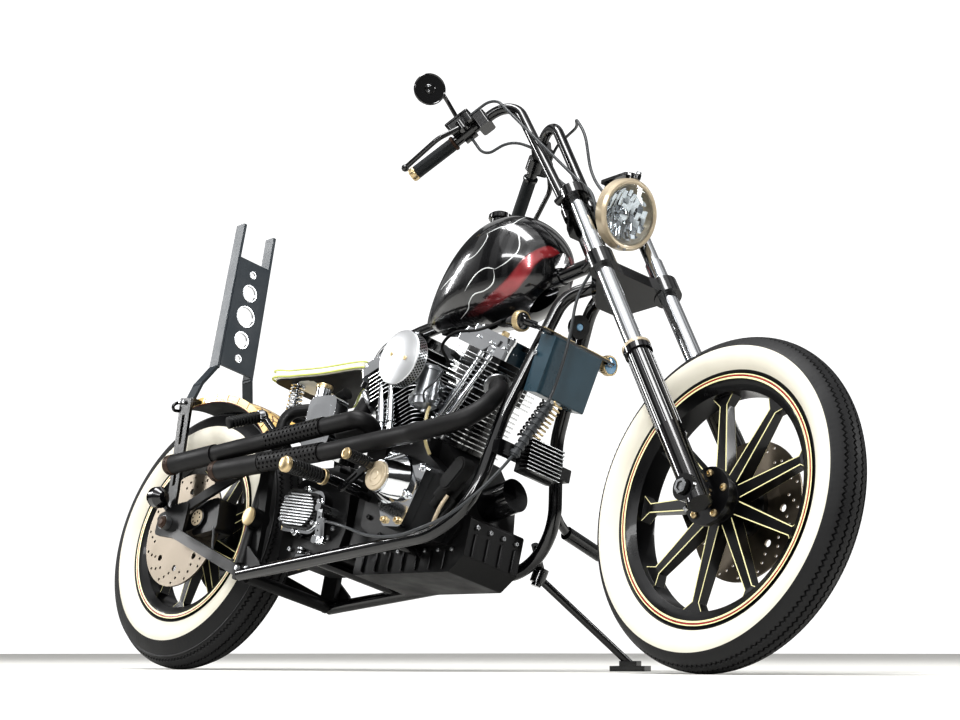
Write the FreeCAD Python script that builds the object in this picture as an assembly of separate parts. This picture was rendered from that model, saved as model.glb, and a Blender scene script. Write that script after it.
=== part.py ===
import FreeCAD, Part
import math
import os

os.makedirs("parts", exist_ok=True)

# The motorcycle is drawn upright with its wheels in line: X forward from the rear axle, Y to the
# rider's left, Z up from the floor. The front end is then turned, and all of it leans on its stand.

# Stance
WHEELBASE = 1716.0
LEAN = 15.53
REST_STEER = -4.14
CROWN = 58.0
SEAT_GAP = 0.3
CORD_SHARE = 0.45

# Wheels and tyres
REAR_R = 333.0
REAR_HALF = 61.0
REAR_WALL_H = 113.0
REAR_RIM_R = REAR_R - REAR_WALL_H
REAR_RIM_HALF = 50.0
FRONT_R = 343.0
FRONT_HALF = 50.0
FRONT_WALL_H = 85.0
FRONT_RIM_R = FRONT_R - FRONT_WALL_H
FRONT_RIM_HALF = 38.0
RIM_WALL = 6.0
RIM_DEPTH = 24.0
TYRE_WALL = 9.0
SPOKES = 9
SPOKE_W_HUB = 30.0
SPOKE_W_RIM = 21.0
SPOKE_T_HUB = 34.0
SPOKE_T_RIM = 22.0
FLARE_LEN = 20.0
HUB_R = 46.0
HUB_FLANGE_R = 60.0
HUB_FLANGE_T = 12.0
FRONT_HUB_HALF = 56.0
REAR_HUB_HALF = 66.0
AXLE_R = 10.0
DISC_R = 146.0
DISC_IN_R = 84.0
DISC_T = 5.0
DISC_HOLE_R = 3.5
DISC_ROWS = 16
WINDOW_R = 8.0
WINDOWS = 8
PAD_GAP = 2.5
CARRIER_GAP = 10.0
RIM_GAP = 5.0
CALIPER_CAP_R = 26.0
PULLEY_R = 112.0
PULLEY_W = 26.0
BELT_T = 5.0

# Steering head and fork
RAKE = 36.0
HEAD_X = WHEELBASE - 449.0
HEAD_Z = FRONT_R + 515.6
HEAD_LEN = 165.0
HEAD_R = 26.0
STEM_R = 14.0
FORK_AHEAD = 66.0
FORK_HALF = 97.0
FORK_R = 19.5
SLIDER_R = 26.0
SLIDER_TOP = 297.0
SLIDER_TAIL = 40.0
CLAMP_T = 28.0
CLAMP_INSET = 3.0
LOWER_T = 42.0
UPPER_TUBE_R = 16.0
TUBE_STEP = -58.0
CLAMP_GAP = 9.0
CLAMP_EAR_R = 31.0

# Handlebar
BAR_R = 12.7
BAR_BEND = 62.0
BAR_LOW_HALF = 44.0
BAR_TOP_HALF = 61.0
BAR_TOP_X = HEAD_X - 381.0
BAR_TOP_Z = 1366.0
GRIP_LEN = 122.0
CONTROL_IN = 36.0
GRIP_END_HALF = 162.0
GRIP_END_X = HEAD_X - 575.0
GRIP_END_Z = 1172.0
GRIP_R = 16.0

# Frame tubes
TUBE_R = 15.0
BACKBONE_R = 17.0
TUNNEL_ROOM = 4.0
RAIL_HALF = 140.0
RAIL_REAR_X = 365.0
RAIL_REAR_Z = 188.0
RAIL_FRONT_X = HEAD_X - 157.0
RAIL_FRONT_Z = 272.0
RAIL_BEND = 185.0
KNEE_X = HEAD_X - 167.0
KNEE_HALF = 85.0
KNEE_Z = 545.0
POST_TOP_X = 330.0
POST_TOP_HALF = 90.0
POST_TOP_Z = 612.0
CROSS_TOP_Z = 608.0
SEAT_RAIL_HALF = 44.0
CROSS_R = 12.0
GEAR_BAR_X = 600.0
GEAR_FLOOR = 238.0
CASE_BAR_X = 900.0
CASE_FLOOR = 260.0
PLATE_HALF = 116.0
PLATE_T = 10.0
STAY_T = 10.0
STAY_H = 28.0

# Engine
CRANK_X = 808.0
CRANK_Z = 345.0
CASE_HALF = 82.0
V_HALF_ANGLE = 22.5
DECK_RISE = 185.0
HEAD_RISE = 322.0
ROCKER_RISE = 405.0
ROCKER_LEN = 196.0
ROCKER_HALF = 74.0
FIN_HALF = 70.0
FIN_LEN = 146.0
FIN_T = 3.0
FIN_PITCH = 11.0
BARREL_R = 54.0
LIFTER_TOP = 500.0
PUSHROD_R = 8.0


def at(x, y, z):
    return FreeCAD.Vector(x, y, z)


def joined(shapes):
    return shapes[0].fuse(shapes[1:]).removeSplitter()


def apart(shapes):
    return Part.makeCompound(shapes)


def rod(start, end, radius):
    return Part.makeCylinder(radius, (end - start).Length, start, end - start)


def taper(start, end, start_r, end_r):
    return Part.makeCone(start_r, end_r, (end - start).Length, start, end - start)


def rounded(points, radius, closed):
    """Straight runs joined by arcs of one radius, or as large as the runs allow for None."""
    count = len(points)
    edges = []
    starts = []
    arcs = []
    for i in range(count):
        if not closed and i in (0, count - 1):
            starts.append((points[i], points[i]))
            arcs.append(None)
            continue
        here = points[i]
        back = points[i - 1] - here
        ahead = points[(i + 1) % count] - here
        turn = math.pi - back.getAngle(ahead)
        shorter = min(back.Length, ahead.Length)
        reach = CORD_SHARE * shorter
        if radius is not None:
            reach = min(radius * math.tan(turn / 2), 0.49 * shorter)
        back.normalize()
        ahead.normalize()
        first = here + back * reach
        last = here + ahead * reach
        if turn < 0.01 or reach < 0.01:
            starts.append((here, here))
            arcs.append(None)
            continue
        bend_r = reach / math.tan(turn / 2)
        inward = back + ahead
        inward.normalize()
        middle = here + inward * (bend_r / math.cos(turn / 2) - bend_r)
        starts.append((first, last))
        arcs.append(Part.Arc(first, middle, last).toShape())
    runs = count if closed else count - 1
    for i in range(runs):
        if arcs[i]:
            edges.append(arcs[i])
        run_start = starts[i][1]
        run_end = starts[(i + 1) % count][0]
        if (run_end - run_start).Length > 0.01:
            edges.append(Part.LineSegment(run_start, run_end).toShape())
    return Part.Wire(edges)


def tube(points, radius, bend):
    path = rounded(points, bend, False)
    ring = Part.Wire(Part.Circle(points[0], points[1] - points[0], radius).toShape())
    return path.makePipeShell([ring], True, True)


def cord(points, radius):
    """A cord of straight runs and large arcs, whose radii are printed."""
    bends = []
    for i in range(1, len(points) - 1):
        back = points[i - 1] - points[i]
        ahead = points[i + 1] - points[i]
        turn = math.pi - back.getAngle(ahead)
        bends.append(CORD_SHARE * min(back.Length, ahead.Length) / math.tan(turn / 2))
    print("cord of", 2 * radius, "mm, radii", [round(bend) for bend in bends])
    return tube(points, radius, None)


def side_plate(outline, corner, low_y, high_y):
    """An outline of (x, z) corners, as thick as the two y values say."""
    points = [at(x, low_y, z) for x, z in outline]
    face = Part.Face(rounded(points, corner, True))
    return face.extrude(at(0, high_y - low_y, 0))


def turned(profile, centre, axis):
    """A closed profile of (radius, height) corners, turned about an axis through centre."""
    points = [at(r, 0, h) for r, h in profile]
    face = Part.Face(Part.makePolygon(points + [points[0]]))
    solid = face.revolve(at(0, 0, 0), at(0, 0, 1), 360)
    solid.Placement = FreeCAD.Placement(centre, FreeCAD.Rotation(at(0, 0, 1), axis))
    return solid


def slab(centre, u_dir, v_dir, u_size, v_size, thick, corner):
    """A flat bar with rounded corners, centred, thick along the third direction."""
    u_dir = FreeCAD.Vector(u_dir).normalize()
    v_dir = FreeCAD.Vector(v_dir).normalize()
    through = u_dir.cross(v_dir)
    base = centre - through * (thick / 2)
    signs = [(-1, -1), (1, -1), (1, 1), (-1, 1)]
    points = [base + u_dir * (a * u_size / 2) + v_dir * (b * v_size / 2) for a, b in signs]
    face = Part.Face(rounded(points, corner, True))
    return face.extrude(through * thick)


# Steering head directions: down the forks, and square to them towards the front
RAKE_RAD = math.radians(RAKE)
DOWN = at(math.sin(RAKE_RAD), 0, -math.cos(RAKE_RAD))
AHEAD = at(math.cos(RAKE_RAD), 0, math.sin(RAKE_RAD))
HEAD = at(HEAD_X, 0, HEAD_Z)
REAR_AXLE = at(0, 0, REAR_R)
FRONT_AXLE = at(WHEELBASE, 0, FRONT_R)
AXLE_DOWN = (FRONT_AXLE - HEAD).dot(DOWN)
LEFT = at(0, 1, 0)
UP = at(0, 0, 1)


def fork_point(down, ahead, y):
    return HEAD + DOWN * down + AHEAD * ahead + at(0, y, 0)


def steered(shape):
    turned_shape = shape.copy()
    turned_shape.rotate(HEAD, DOWN * -1, REST_STEER)
    return turned_shape


def front_drop():
    """How far the turned front tyre's lowest point is above the floor once the frame leans."""
    swing = FreeCAD.Rotation(DOWN * -1, REST_STEER)
    roll = FreeCAD.Rotation(at(1, 0, 0), -LEAN)
    pivot = at(0, 0, CROWN)
    hub = HEAD + swing.multVec(FRONT_AXLE - HEAD)
    hub = pivot + roll.multVec(hub - pivot)
    spin = roll.multVec(swing.multVec(LEFT))
    lowest = hub.z - (FRONT_R - CROWN) * math.sqrt(1 - spin.z ** 2) - CROWN
    return lowest, hub.x


FRONT_LOW, FRONT_HUB_X = front_drop()
PITCH = math.degrees(math.atan2(FRONT_LOW, FRONT_HUB_X))


def parked(shape):
    """Leans the upright shape on its stand, about the line where both treads are round."""
    placed = shape.copy()
    placed.rotate(at(0, 0, CROWN), at(1, 0, 0), -LEAN)
    placed.rotate(at(0, 0, CROWN), LEFT, PITCH)
    return placed


def unparked_point(point):
    pivot = at(0, 0, CROWN)
    back = FreeCAD.Rotation(LEFT, -PITCH).multVec(point - pivot)
    return pivot + FreeCAD.Rotation(at(1, 0, 0), LEAN).multVec(back)


# Wheels

def tyre(centre, outer_r, half, rim_r, rim_half):
    """A round-crowned carcass, open towards the rim."""
    ring_r = outer_r - CROWN
    shoulder_r = ring_r + math.sqrt(CROWN ** 2 - (half - 4) ** 2)
    bead_half = rim_half - RIM_WALL - SEAT_GAP
    bead_r = rim_r - 14

    def half_wall(inset):
        crown = at(outer_r - inset, 0, 0)
        shoulder = at(shoulder_r - inset / 2, 0, half - 4 - inset)
        side = at((shoulder_r + rim_r) / 2, 0, half - inset)
        flange = at(rim_r + 2, 0, bead_half - inset)
        bead = at(bead_r, 0, bead_half - inset)
        return crown, shoulder, side, flange, bead

    crown, shoulder, side, flange, bead = half_wall(0)
    crown_in, shoulder_in, side_in, flange_in, bead_in = half_wall(TYRE_WALL)

    def down(point):
        return at(point.x, point.y, -point.z)

    edges = [
        Part.Arc(down(shoulder), crown, shoulder).toShape(),
        Part.Arc(shoulder, side, flange).toShape(),
        Part.LineSegment(flange, bead).toShape(),
        Part.LineSegment(bead, bead_in).toShape(),
        Part.LineSegment(bead_in, flange_in).toShape(),
        Part.Arc(flange_in, side_in, shoulder_in).toShape(),
        Part.Arc(shoulder_in, crown_in, down(shoulder_in)).toShape(),
        Part.Arc(down(shoulder_in), down(side_in), down(flange_in)).toShape(),
        Part.LineSegment(down(flange_in), down(bead_in)).toShape(),
        Part.LineSegment(down(bead_in), down(bead)).toShape(),
        Part.LineSegment(down(bead), down(flange)).toShape(),
        Part.Arc(down(flange), down(side), down(shoulder)).toShape(),
    ]
    face = Part.Face(Part.Wire(edges))
    ring = face.revolve(at(0, 0, 0), at(0, 0, 1), 360)
    ring.Placement = FreeCAD.Placement(centre, FreeCAD.Rotation(at(0, 0, 1), LEFT))
    return ring


def cast_wheel(centre, rim_r, rim_half, hub_half):
    """Rim, spokes and hub cast as one, with the axle's bore through it."""
    well_r = rim_r - 14 - SEAT_GAP
    inner_r = rim_r - RIM_DEPTH - 8
    rim = turned([
        (rim_r, -rim_half), (rim_r, -rim_half + RIM_WALL), (well_r, -rim_half + RIM_WALL),
        (well_r, rim_half - RIM_WALL), (rim_r, rim_half - RIM_WALL), (rim_r, rim_half),
        (rim_r - 10, rim_half), (inner_r, rim_half - 12), (inner_r, -rim_half + 12),
        (rim_r - 10, -rim_half)], centre, LEFT)
    hub = turned([
        (AXLE_R + SEAT_GAP, -hub_half), (HUB_FLANGE_R, -hub_half),
        (HUB_FLANGE_R, -hub_half + HUB_FLANGE_T), (HUB_R, -hub_half + HUB_FLANGE_T + 6),
        (HUB_R, hub_half - HUB_FLANGE_T - 6), (HUB_FLANGE_R, hub_half - HUB_FLANGE_T),
        (HUB_FLANGE_R, hub_half), (AXLE_R + SEAT_GAP, hub_half)], centre, LEFT)
    pieces = [rim, hub]
    for i in range(SPOKES):
        angle = 2 * math.pi * (i + 0.5) / SPOKES
        out = at(math.cos(angle), 0, math.sin(angle))
        across = at(-math.sin(angle), 0, math.cos(angle))

        def ring(reach, wide, thick):
            middle = centre + out * reach
            corners = [
                middle - across * (wide / 2) - LEFT * (thick / 2),
                middle + across * (wide / 2) - LEFT * (thick / 2),
                middle + across * (wide / 2) + LEFT * (thick / 2),
                middle - across * (wide / 2) + LEFT * (thick / 2)]
            return Part.makePolygon(corners + [corners[0]])

        low = ring(HUB_R - 8, SPOKE_W_HUB, SPOKE_T_HUB)
        high = ring(inner_r - FLARE_LEN, SPOKE_W_RIM, SPOKE_T_RIM)
        foot = ring(inner_r + 2, SPOKE_W_RIM + 2 * FLARE_LEN, SPOKE_T_RIM + 4)
        pieces.append(Part.makeLoft([low, high], True, True))
        pieces.append(Part.makeLoft([high, foot], True, True))
    return joined(pieces)


def brake_disc(centre, middle_y):
    ring = turned([
        (DISC_IN_R, -DISC_T / 2), (DISC_R, -DISC_T / 2), (DISC_R, DISC_T / 2),
        (DISC_IN_R, DISC_T / 2)], centre + LEFT * middle_y, LEFT)
    holes = []

    def drill(angle, reach, radius):
        spot = centre + at(reach * math.cos(angle), middle_y, reach * math.sin(angle))
        holes.append(rod(spot - LEFT * DISC_T, spot + LEFT * DISC_T, radius))

    for i in range(DISC_ROWS):
        for step in range(3):
            drill(2 * math.pi * (i + 0.3 * step) / DISC_ROWS, DISC_R - 9 - 12 * step, DISC_HOLE_R)
    for i in range(WINDOWS):
        drill(2 * math.pi * i / WINDOWS, DISC_IN_R + 15, WINDOW_R)
    return ring.cut(holes)


pieces = {}

pieces["front_tyre"] = tyre(FRONT_AXLE, FRONT_R, FRONT_HALF, FRONT_RIM_R, FRONT_RIM_HALF)
pieces["front_wheel"] = cast_wheel(FRONT_AXLE, FRONT_RIM_R, FRONT_RIM_HALF, FRONT_HUB_HALF)
pieces["rear_tyre"] = tyre(REAR_AXLE, REAR_R, REAR_HALF, REAR_RIM_R, REAR_RIM_HALF)
pieces["rear_wheel"] = cast_wheel(REAR_AXLE, REAR_RIM_R, REAR_RIM_HALF, REAR_HUB_HALF)
FRONT_DISC_Y = FRONT_HUB_HALF + 5.0
REAR_DISC_Y = -(REAR_HUB_HALF + 8.0)
pieces["front_disc"] = joined([
    brake_disc(FRONT_AXLE, FRONT_DISC_Y),
    turned([
        (AXLE_R + 14, FRONT_HUB_HALF + SEAT_GAP), (AXLE_R + 14, FRONT_DISC_Y + DISC_T / 2),
        (DISC_IN_R + 6, FRONT_DISC_Y + DISC_T / 2), (DISC_IN_R + 6, FRONT_DISC_Y - DISC_T / 2),
        (HUB_FLANGE_R, FRONT_HUB_HALF + SEAT_GAP)], FRONT_AXLE, LEFT)])
pieces["rear_disc"] = joined([
    brake_disc(REAR_AXLE, REAR_DISC_Y),
    turned([
        (AXLE_R + 14, REAR_HUB_HALF + SEAT_GAP), (AXLE_R + 14, -REAR_DISC_Y + DISC_T / 2),
        (DISC_IN_R + 6, -REAR_DISC_Y + DISC_T / 2), (DISC_IN_R + 6, -REAR_DISC_Y - DISC_T / 2),
        (HUB_FLANGE_R, REAR_HUB_HALF + SEAT_GAP)], REAR_AXLE, LEFT * -1)])
PULLEY_Y = REAR_HUB_HALF + SEAT_GAP
pieces["rear_pulley"] = turned([
    (AXLE_R + 14, PULLEY_Y), (PULLEY_R, PULLEY_Y), (PULLEY_R, PULLEY_Y + PULLEY_W),
    (PULLEY_R - 14, PULLEY_Y + PULLEY_W), (PULLEY_R - 18, PULLEY_Y + 10),
    (AXLE_R + 22, PULLEY_Y + 10), (AXLE_R + 22, PULLEY_Y + PULLEY_W - 4),
    (AXLE_R + 14, PULLEY_Y + PULLEY_W - 4)], REAR_AXLE, LEFT)

# Fork

FORK_TOP = -HEAD_LEN - CLAMP_GAP - CLAMP_T
LOWER_CLAMP = CLAMP_GAP + LOWER_T / 2
UPPER_CLAMP = -HEAD_LEN - CLAMP_GAP - CLAMP_T / 2
SLIDER_END = AXLE_DOWN + SLIDER_TAIL


def clamp_plate(down, reach_back, thick, bow):
    """A triple clamp: a wide beam with an ear round each fork tube and a pinch bolt's lug."""
    def corner(ahead, y):
        return fork_point(down - thick / 2 + CLAMP_INSET, ahead, y)
    outline = [
        corner(reach_back, -34), corner(reach_back, 34), corner(FORK_AHEAD - 26, FORK_HALF),
        corner(FORK_AHEAD + 16, FORK_HALF), corner(FORK_AHEAD + bow, 44),
        corner(FORK_AHEAD + bow, -44), corner(FORK_AHEAD + 16, -FORK_HALF),
        corner(FORK_AHEAD - 26, -FORK_HALF)]
    plate = Part.Face(rounded(outline, 10, True)).extrude(DOWN * (thick - 2 * CLAMP_INSET))
    ears = []
    for side in (-1, 1):
        top = fork_point(down - thick / 2, FORK_AHEAD, side * FORK_HALF)
        ears.append(rod(top, top + DOWN * thick, CLAMP_EAR_R))
        lug = fork_point(down, FORK_AHEAD - 22, side * (FORK_HALF + 22))
        ears.append(rod(lug - AHEAD * 12, lug + AHEAD * 12, 9))
    return joined([plate] + ears)


def fork_bores():
    holes = []
    for side in (-1, 1):
        top = fork_point(FORK_TOP - 20, FORK_AHEAD, side * FORK_HALF)
        step = fork_point(TUBE_STEP, FORK_AHEAD, side * FORK_HALF)
        low = fork_point(SLIDER_TOP + 40, FORK_AHEAD, side * FORK_HALF)
        holes.append(rod(top, step, UPPER_TUBE_R + SEAT_GAP))
        holes.append(rod(step, low, FORK_R + SEAT_GAP))
    return holes


stem = rod(fork_point(UPPER_CLAMP, 0, 0), fork_point(LOWER_CLAMP, 0, 0), STEM_R)
clamps = joined([
    clamp_plate(LOWER_CLAMP, -32, LOWER_T, 6), clamp_plate(UPPER_CLAMP, -28, CLAMP_T, -10), stem])
pieces["triple_clamps"] = clamps.cut(fork_bores())

fork_tubes = []
sliders = []
for side in (-1, 1):
    leg_y = side * FORK_HALF
    step = fork_point(TUBE_STEP, FORK_AHEAD, leg_y)
    cap = fork_point(FORK_TOP - 6, FORK_AHEAD, leg_y)
    fork_tubes.append(joined([
        rod(cap, step, UPPER_TUBE_R), rod(cap, cap + DOWN * 5, UPPER_TUBE_R + 5),
        rod(step, fork_point(SLIDER_TOP + 30, FORK_AHEAD, leg_y), FORK_R)]))
    leg = rod(
        fork_point(SLIDER_TOP, FORK_AHEAD, leg_y),
        fork_point(SLIDER_END, FORK_AHEAD, leg_y), SLIDER_R)
    ring = rod(
        fork_point(SLIDER_TOP - 10, FORK_AHEAD, leg_y),
        fork_point(SLIDER_TOP + 12, FORK_AHEAD, leg_y), SLIDER_R + 4)
    boss = rod(
        FRONT_AXLE + LEFT * (leg_y - side * 26), FRONT_AXLE + LEFT * (leg_y + side * 26),
        SLIDER_R + 2)
    leg = joined([leg, ring, boss])
    axle_hole = rod(
        FRONT_AXLE + LEFT * (leg_y - side * 40), FRONT_AXLE + LEFT * (leg_y + side * 40),
        AXLE_R + SEAT_GAP)
    socket = rod(
        fork_point(SLIDER_TOP - 12, FORK_AHEAD, leg_y),
        fork_point(SLIDER_TOP + 31, FORK_AHEAD, leg_y), FORK_R + SEAT_GAP)
    sliders.append(leg.cut([axle_hole, socket]))
pieces["fork_tubes"] = apart(fork_tubes)
pieces["fork_sliders"] = apart(sliders)
AXLE_END = FORK_HALF + 32.0
axle = rod(FRONT_AXLE - LEFT * AXLE_END, FRONT_AXLE + LEFT * AXLE_END, AXLE_R)
collars = []
for side in (-1, 1):
    inner = FRONT_HUB_HALF + (DISC_T + 3 if side > 0 else 0) + 1
    collars.append(rod(
        FRONT_AXLE + LEFT * (side * inner),
        FRONT_AXLE + LEFT * (side * (FORK_HALF - 26 - SEAT_GAP)), AXLE_R + 5))
    collars.append(rod(
        FRONT_AXLE + LEFT * (side * (FORK_HALF + 26 + SEAT_GAP)),
        FRONT_AXLE + LEFT * (side * AXLE_END), AXLE_R + 6))
pieces["front_axle"] = joined([axle] + collars)


def caliper(disc_centre, disc_y, spot, cap_spot, along, length, depth):
    """A caliper body that bridges the disc's rim, with its piston's cap on the outer face."""
    across = FreeCAD.Vector(along).cross(LEFT)
    body = slab(spot + LEFT * disc_y, along, across, length, depth, 54, 14)
    side = 1 if disc_y > 0 else -1
    cap_start = cap_spot + LEFT * (disc_y + side * 26)
    cap = rod(cap_start, cap_start + LEFT * (side * 7), CALIPER_CAP_R)
    thin = DISC_T / 2 + PAD_GAP
    wide = DISC_T / 2 + CARRIER_GAP
    step_r = DISC_IN_R + 12
    slot = turned([
        (HUB_FLANGE_R - 12, -wide), (step_r, -wide), (step_r, -thin), (DISC_R + RIM_GAP, -thin),
        (DISC_R + RIM_GAP, thin), (step_r, thin), (step_r, wide), (HUB_FLANGE_R - 12, wide)],
        disc_centre + LEFT * disc_y, LEFT)
    return joined([body, cap]).cut(slot)


FRONT_CALIPER_SPOT = fork_point(AXLE_DOWN - 88, FORK_AHEAD - 94, 0)
front_caliper = caliper(
    FRONT_AXLE, FRONT_DISC_Y, FRONT_CALIPER_SPOT, FRONT_CALIPER_SPOT, DOWN, 96, 84)
caliper_lug = slab(
    fork_point(AXLE_DOWN - 92, FORK_AHEAD - 42, FRONT_DISC_Y + 22), DOWN, AHEAD, 60, 44, 12, 6)
slider_bore = rod(
    fork_point(SLIDER_TOP, FORK_AHEAD, FORK_HALF),
    fork_point(SLIDER_END, FORK_AHEAD, FORK_HALF), SLIDER_R + SEAT_GAP)
pieces["front_caliper"] = joined([front_caliper, caliper_lug]).cut(slider_bore)

# Handlebar, grips and levers
TOP_DECK = UPPER_CLAMP - CLAMP_T / 2 + CLAMP_INSET - SEAT_GAP
bar_foot = fork_point(TOP_DECK, 6, 0)
CLAMP_UP = 46.0


def bar_points(side):
    foot = bar_foot + LEFT * (side * BAR_LOW_HALF)
    top = at(BAR_TOP_X, side * BAR_TOP_HALF, BAR_TOP_Z)
    end = at(GRIP_END_X, side * GRIP_END_HALF, GRIP_END_Z)
    inner = end + (top - end).normalize() * GRIP_LEN
    return foot, top, inner, end


bars = []
clamp_ends = []
grips = []
for side in (-1, 1):
    foot, top, inner, end = bar_points(side)
    bars.append(tube([foot, top, end], BAR_R, BAR_BEND))
    bars.append(rod(foot, foot - DOWN * 30, BAR_R + 7))
    clamp_ends.append(foot + (top - foot).normalize() * CLAMP_UP)
    out = (end - inner).normalize()
    sleeve = rod(inner, end + out * 6, GRIP_R)
    grips.append(sleeve.cut(rod(inner - out * 5, end + out * 0.2, BAR_R + SEAT_GAP)))
cross_bar = rod(clamp_ends[0], clamp_ends[1], BAR_R * 0.8)
pieces["handlebar"] = joined(bars + [cross_bar]).cut(clamps)
pieces["grips"] = apart(grips)


def control_frame(side):
    """Where the controls clamp on, and the directions out along the grip, forward and up."""
    foot, top, inner, end = bar_points(side)
    out = (end - inner).normalize()
    forward = out.cross(UP).normalize() * side
    lift = forward.cross(out).normalize() * side
    return inner - out * CONTROL_IN, out, forward, lift


def control_set(side):
    """The clamp, fluid box, switches and lever at the inner end of a grip."""
    spot, out, forward, lift = control_frame(side)
    ring = rod(spot - out * 16, spot + out * 16, BAR_R + 8)
    box = slab(spot + forward * 20 + lift * 16, out, forward, 62, 34, 26, 6)
    pivot = spot + forward * 34 + lift * 2
    reach = [pivot, pivot + out * 60 + forward * 22, pivot + out * 165 + forward * 8]
    lever = tube(reach, 6, 60)
    ball = Part.makeSphere(9, reach[2])
    knuckle = rod(pivot - lift * 10, pivot + lift * 14, 11)
    lid = slab(spot + forward * 20 + lift * 31, out, forward, 66, 38, 5, 6)
    switch_at = spot - out * 44 - lift * 4
    switch = slab(switch_at + forward * 2, out, forward, 34, 44, 40, 8)
    body = joined([ring, box, lid, knuckle, lever, ball, switch])
    return body.cut(rod(spot - out * 80, spot + out * 80, BAR_R + SEAT_GAP))


right_controls = control_set(-1)
pieces["hand_controls"] = apart([right_controls, control_set(1)])

MIRROR_AT = at(HEAD_X - 343, -330, 1272)
MIRROR_R = 36.0
spot, out, forward, lift = control_frame(-1)
mirror_base = spot + forward * 20 + lift * 33.8
mirror_face = at(0.88, -0.42, -0.1).normalize()
mirror_bowl = turned([
    (0.0, -7), (MIRROR_R * 0.8, -7), (MIRROR_R, 2), (MIRROR_R, 7), (0.0, 7)],
    MIRROR_AT, mirror_face)
mirror_stem = tube([mirror_base, mirror_base + lift * 60 + at(10, -30, 20), MIRROR_AT], 5, 60)
pieces["mirror"] = joined([mirror_bowl, mirror_stem]).cut(right_controls)

# Cables at the handlebar: throttle and brake on the right, clutch on the left
CABLE_R = 3.5
throttle_start = spot - lift * 18
throttle = cord([
    throttle_start, throttle_start - lift * 62, at(916, -70, 1250), at(985, -32, 1224),
    at(1050, -22, 1140), at(1150, -20, 1092), at(1222, -23, 1045), at(1232, -24, 990)], CABLE_R)
hose_start = spot - out * 28 + forward * 20 + lift * 22
hose = cord([
    hose_start, hose_start - out * 72, at(1020, -70, 1226), at(1122, -24, 1132),
    at(1208, -42, 1076), at(1237, -44, 1006)], CABLE_R)
left_spot, left_out, left_forward, left_lift = control_frame(1)
left_controls = pieces["hand_controls"].Solids[1]
clutch_start = left_spot + left_forward * 30 + left_lift * 4
clutch = cord([
    clutch_start, clutch_start - left_out * 62 + left_forward * 6, at(985, 64, 1322),
    at(1024, 22, 1320), at(1071, 20, 1270), at(1116, 20, 1157), at(1190, 22, 1086),
    at(1222, 23, 1042), at(1232, 24, 990)], CABLE_R)
control_cables = [throttle.cut(right_controls), hose.cut(right_controls), clutch.cut(left_controls)]
pieces["control_cables"] = apart(control_cables)

# Headlamp
LAMP_R = 80.0
LAMP_FACE = at(HEAD_X + 29, 0, 1026)
LENS_R = 68.0
LENS_T = 4.0
LAMP_DEPTH = 34.0
LAMP_AIM = at(0.985, 0, -0.17).normalize()
lamp_back = LAMP_FACE - LAMP_AIM * LAMP_DEPTH
lamp_shell = turned([
    (0.0, -LAMP_DEPTH - 16), (LAMP_R * 0.4, -LAMP_DEPTH - 14), (LAMP_R * 0.92, -LAMP_DEPTH),
    (LAMP_R, -LAMP_DEPTH + 8), (LAMP_R, -6), (LAMP_R - 5, 0), (LENS_R, -3),
    (LENS_R, -3 - LENS_T), (LENS_R - 4, -3 - LENS_T), (LENS_R - 14, -22), (36, -36), (0.0, -40)],
    LAMP_FACE, LAMP_AIM)
lamp_arm = rod(lamp_back, fork_point(UPPER_CLAMP, FORK_AHEAD - 12, 0), 10)
lamp_top = LAMP_FACE - LAMP_AIM * 20 + UP * (LAMP_R - 6)
hood_bar = slab(lamp_top + at(-34, 0, 12), at(1, 0, 0.08), LEFT, 84, 46, 7, 6)
hood_post = rod(lamp_top, lamp_top + UP * 22, 11)
hood_leg = rod(lamp_top + at(-70, 0, 10), fork_point(UPPER_CLAMP - 6, FORK_AHEAD - 20, 0), 8)
lamp_parts = [lamp_shell, lamp_arm, hood_bar, hood_post, hood_leg]
pieces["headlamp"] = joined(lamp_parts).cut(clamps)
pieces["headlamp_lens"] = turned([
    (0.0, 6), (LENS_R * 0.6, 3), (LENS_R - SEAT_GAP, -3), (LENS_R - SEAT_GAP, -2.7 - LENS_T),
    (LENS_R * 0.6, 3 - LENS_T), (0.0, 6 - LENS_T)], LAMP_FACE, LAMP_AIM)

# Frame: the head tube and backbone
head_tube = rod(fork_point(-HEAD_LEN, 0, 0), HEAD, HEAD_R)
bore = rod(fork_point(-HEAD_LEN - 20, 0, 0), fork_point(40, 0, 0), STEM_R + 1)
BACKBONE = [
    fork_point(-HEAD_LEN * 0.55, -10, 0), at(660, 0, 816), at(545, 0, 786), at(498, 0, 690)]
backbone = tube(BACKBONE, BACKBONE_R, 60)
tank_mounts = []
for part_way in (0.25, 0.8):
    spot = BACKBONE[0] + (BACKBONE[1] - BACKBONE[0]) * part_way
    ahead = (BACKBONE[0] - BACKBONE[1]).normalize()
    tank_mounts.append(rod(spot, spot + ahead * 40, BACKBONE_R + TUNNEL_ROOM - SEAT_GAP))
pieces["backbone"] = joined([head_tube, backbone] + tank_mounts).cut(bore)


def cradle(side, radius):
    points = [
        fork_point(-16, -HEAD_R + 6, side * 14), at(HEAD_X - 95, side * 42, 836),
        at(KNEE_X, side * KNEE_HALF, KNEE_Z), at(RAIL_FRONT_X, side * RAIL_HALF, RAIL_FRONT_Z),
        at(RAIL_REAR_X, side * RAIL_HALF, RAIL_REAR_Z)]
    path_tube = tube(points, radius, RAIL_BEND)
    return path_tube.cut(rod(fork_point(-HEAD_LEN, 0, 0), HEAD, HEAD_R + SEAT_GAP))


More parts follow.
